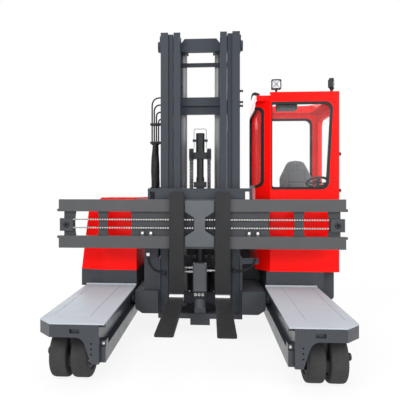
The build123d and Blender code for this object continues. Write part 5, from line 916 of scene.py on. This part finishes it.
# Pipes: sideways from the sleeve's middle, height of the turn.
PIPES = [(-0.036, 2.580), (-0.012, 2.500), (0.012, 2.420), (0.036, 2.340)]
PIPE_RADIUS = 0.0085
PIPE_FOOT = SLEEVE_TOP - 0.02
BEND_SHARE = 0.85
pipe_shapes = []
for offset, turn_z in PIPES:
    x = HOSE_X + offset
    turns = [(x, HOSE_Y, PIPE_FOOT), (x, HOSE_Y, turn_z), (-OUTER_HALF, HOSE_Y, turn_z)]
    route = rounded_route(turns, BEND_SHARE * (-OUTER_HALF - HOSE_X - offset), 10)
    pipe_shapes.append(swept(route, circle(PIPE_RADIUS, 14), up=(0, 1, 0)))
put_mesh("mast_pipes", pipe_shapes, BLACK_IRON, "reach")

# Two free hoses at the mast's foot, in front of the reach slide's plate and arm: name, route.
HOSE_DIAMETER = 0.019
HOSE_PLANE = COLUMN_FRONT - 0.040
HOSE_END = COLUMN_FRONT - 0.026
FOOT_HOSES = [
    ("foot_hose_left", [(-0.556, HOSE_PLANE, 0.850), (-0.556, HOSE_PLANE, 0.690), (-0.395, HOSE_END, 0.664)]),
    ("foot_hose_right", [(0.395, HOSE_END, 0.985), (0.600, HOSE_PLANE, 1.005), (0.575, HOSE_PLANE, 0.680),
                         (0.365, HOSE_END, 0.690)]),
]
# Elbows that the hoses screw into, each standing on the plate or column behind it: lowest and highest corner.
ELBOW_FULLNESS = 7.0
UPPER_ELBOW = ((-0.576, HOSE_PLANE - 0.018, 0.842), (-0.536, COLUMN_FRONT, 0.880))
LOWER_ELBOWS = [
    ((-0.410, HOSE_PLANE - 0.014, 0.644), (-0.366, COLUMN_FRONT, 0.686)),
    ((0.366, HOSE_PLANE - 0.014, 0.964), (0.412, COLUMN_FRONT, 1.006)),
    ((0.340, HOSE_PLANE - 0.014, 0.670), (0.380, COLUMN_FRONT, 0.712)),
]
elbows = [rounded_block(low, high, ELBOW_FULLNESS) for low, high in LOWER_ELBOWS]
put_mesh("hose_union", [rounded_block(*UPPER_ELBOW, ELBOW_FULLNESS)], ZINC, "reach")
put_mesh("hose_elbows", elbows, BLACK_IRON, "reach")
for name, route in FOOT_HOSES:
    curve = bpy.data.curves.new(name, "CURVE")
    curve.dimensions = "3D"
    curve.bevel_depth = HOSE_DIAMETER / 2
    curve.bevel_resolution = 4
    curve.use_fill_caps = True
    curve.resolution_u = 16
    spline = curve.splines.new("NURBS")
    spline.points.add(len(route) - 1)
    spline.points.foreach_set("co", np.c_[np.array(route, float), np.ones(len(route))].ravel())
    spline.order_u = 3
    spline.use_endpoint_u = True
    curve.materials.append(RUBBER)
    hose = bpy.data.objects.new(name, curve)
    scene.collection.objects.link(hose)
    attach(hose, "reach")

# Floor that fades into the white backdrop and keeps a soft shadow.
FLOOR_GLOW = 0.88
FLOOR_FADE = (2.0, 5.0)
FLOOR_HALF = 60
floor_corners = [(x * FLOOR_HALF, y * FLOOR_HALF, 0) for x, y in ((-1, -1), (1, -1), (1, 1), (-1, 1))]
floor_mesh = bpy.data.meshes.new("floor")
floor_mesh.from_pydata(floor_corners, [], [(0, 1, 2, 3)])
floor = bpy.data.objects.new("floor", floor_mesh)
scene.collection.objects.link(floor)
floor_material = bpy.data.materials.new("pale floor")
floor_material.use_nodes = True
f = Nodes(floor_material.node_tree)
matt = f.add("ShaderNodeBsdfDiffuse", inputs={"Color": (0.86, 0.86, 0.86, 1)})
glow = f.add("ShaderNodeEmission", inputs={"Color": (1, 1, 1, 1), "Strength": 1.0})
away = f.add("ShaderNodeVectorMath", out=1, inputs={0: f.add("ShaderNodeTexCoord", out=3)}, operation="LENGTH")
share = f.math("MULTIPLY", seen_directly(f), f.span(away, *FLOOR_FADE, FLOOR_GLOW, 1.0))
f.end(f.add("ShaderNodeMixShader", inputs={0: share, 1: matt, 2: glow}))
floor_mesh.materials.append(floor_material)
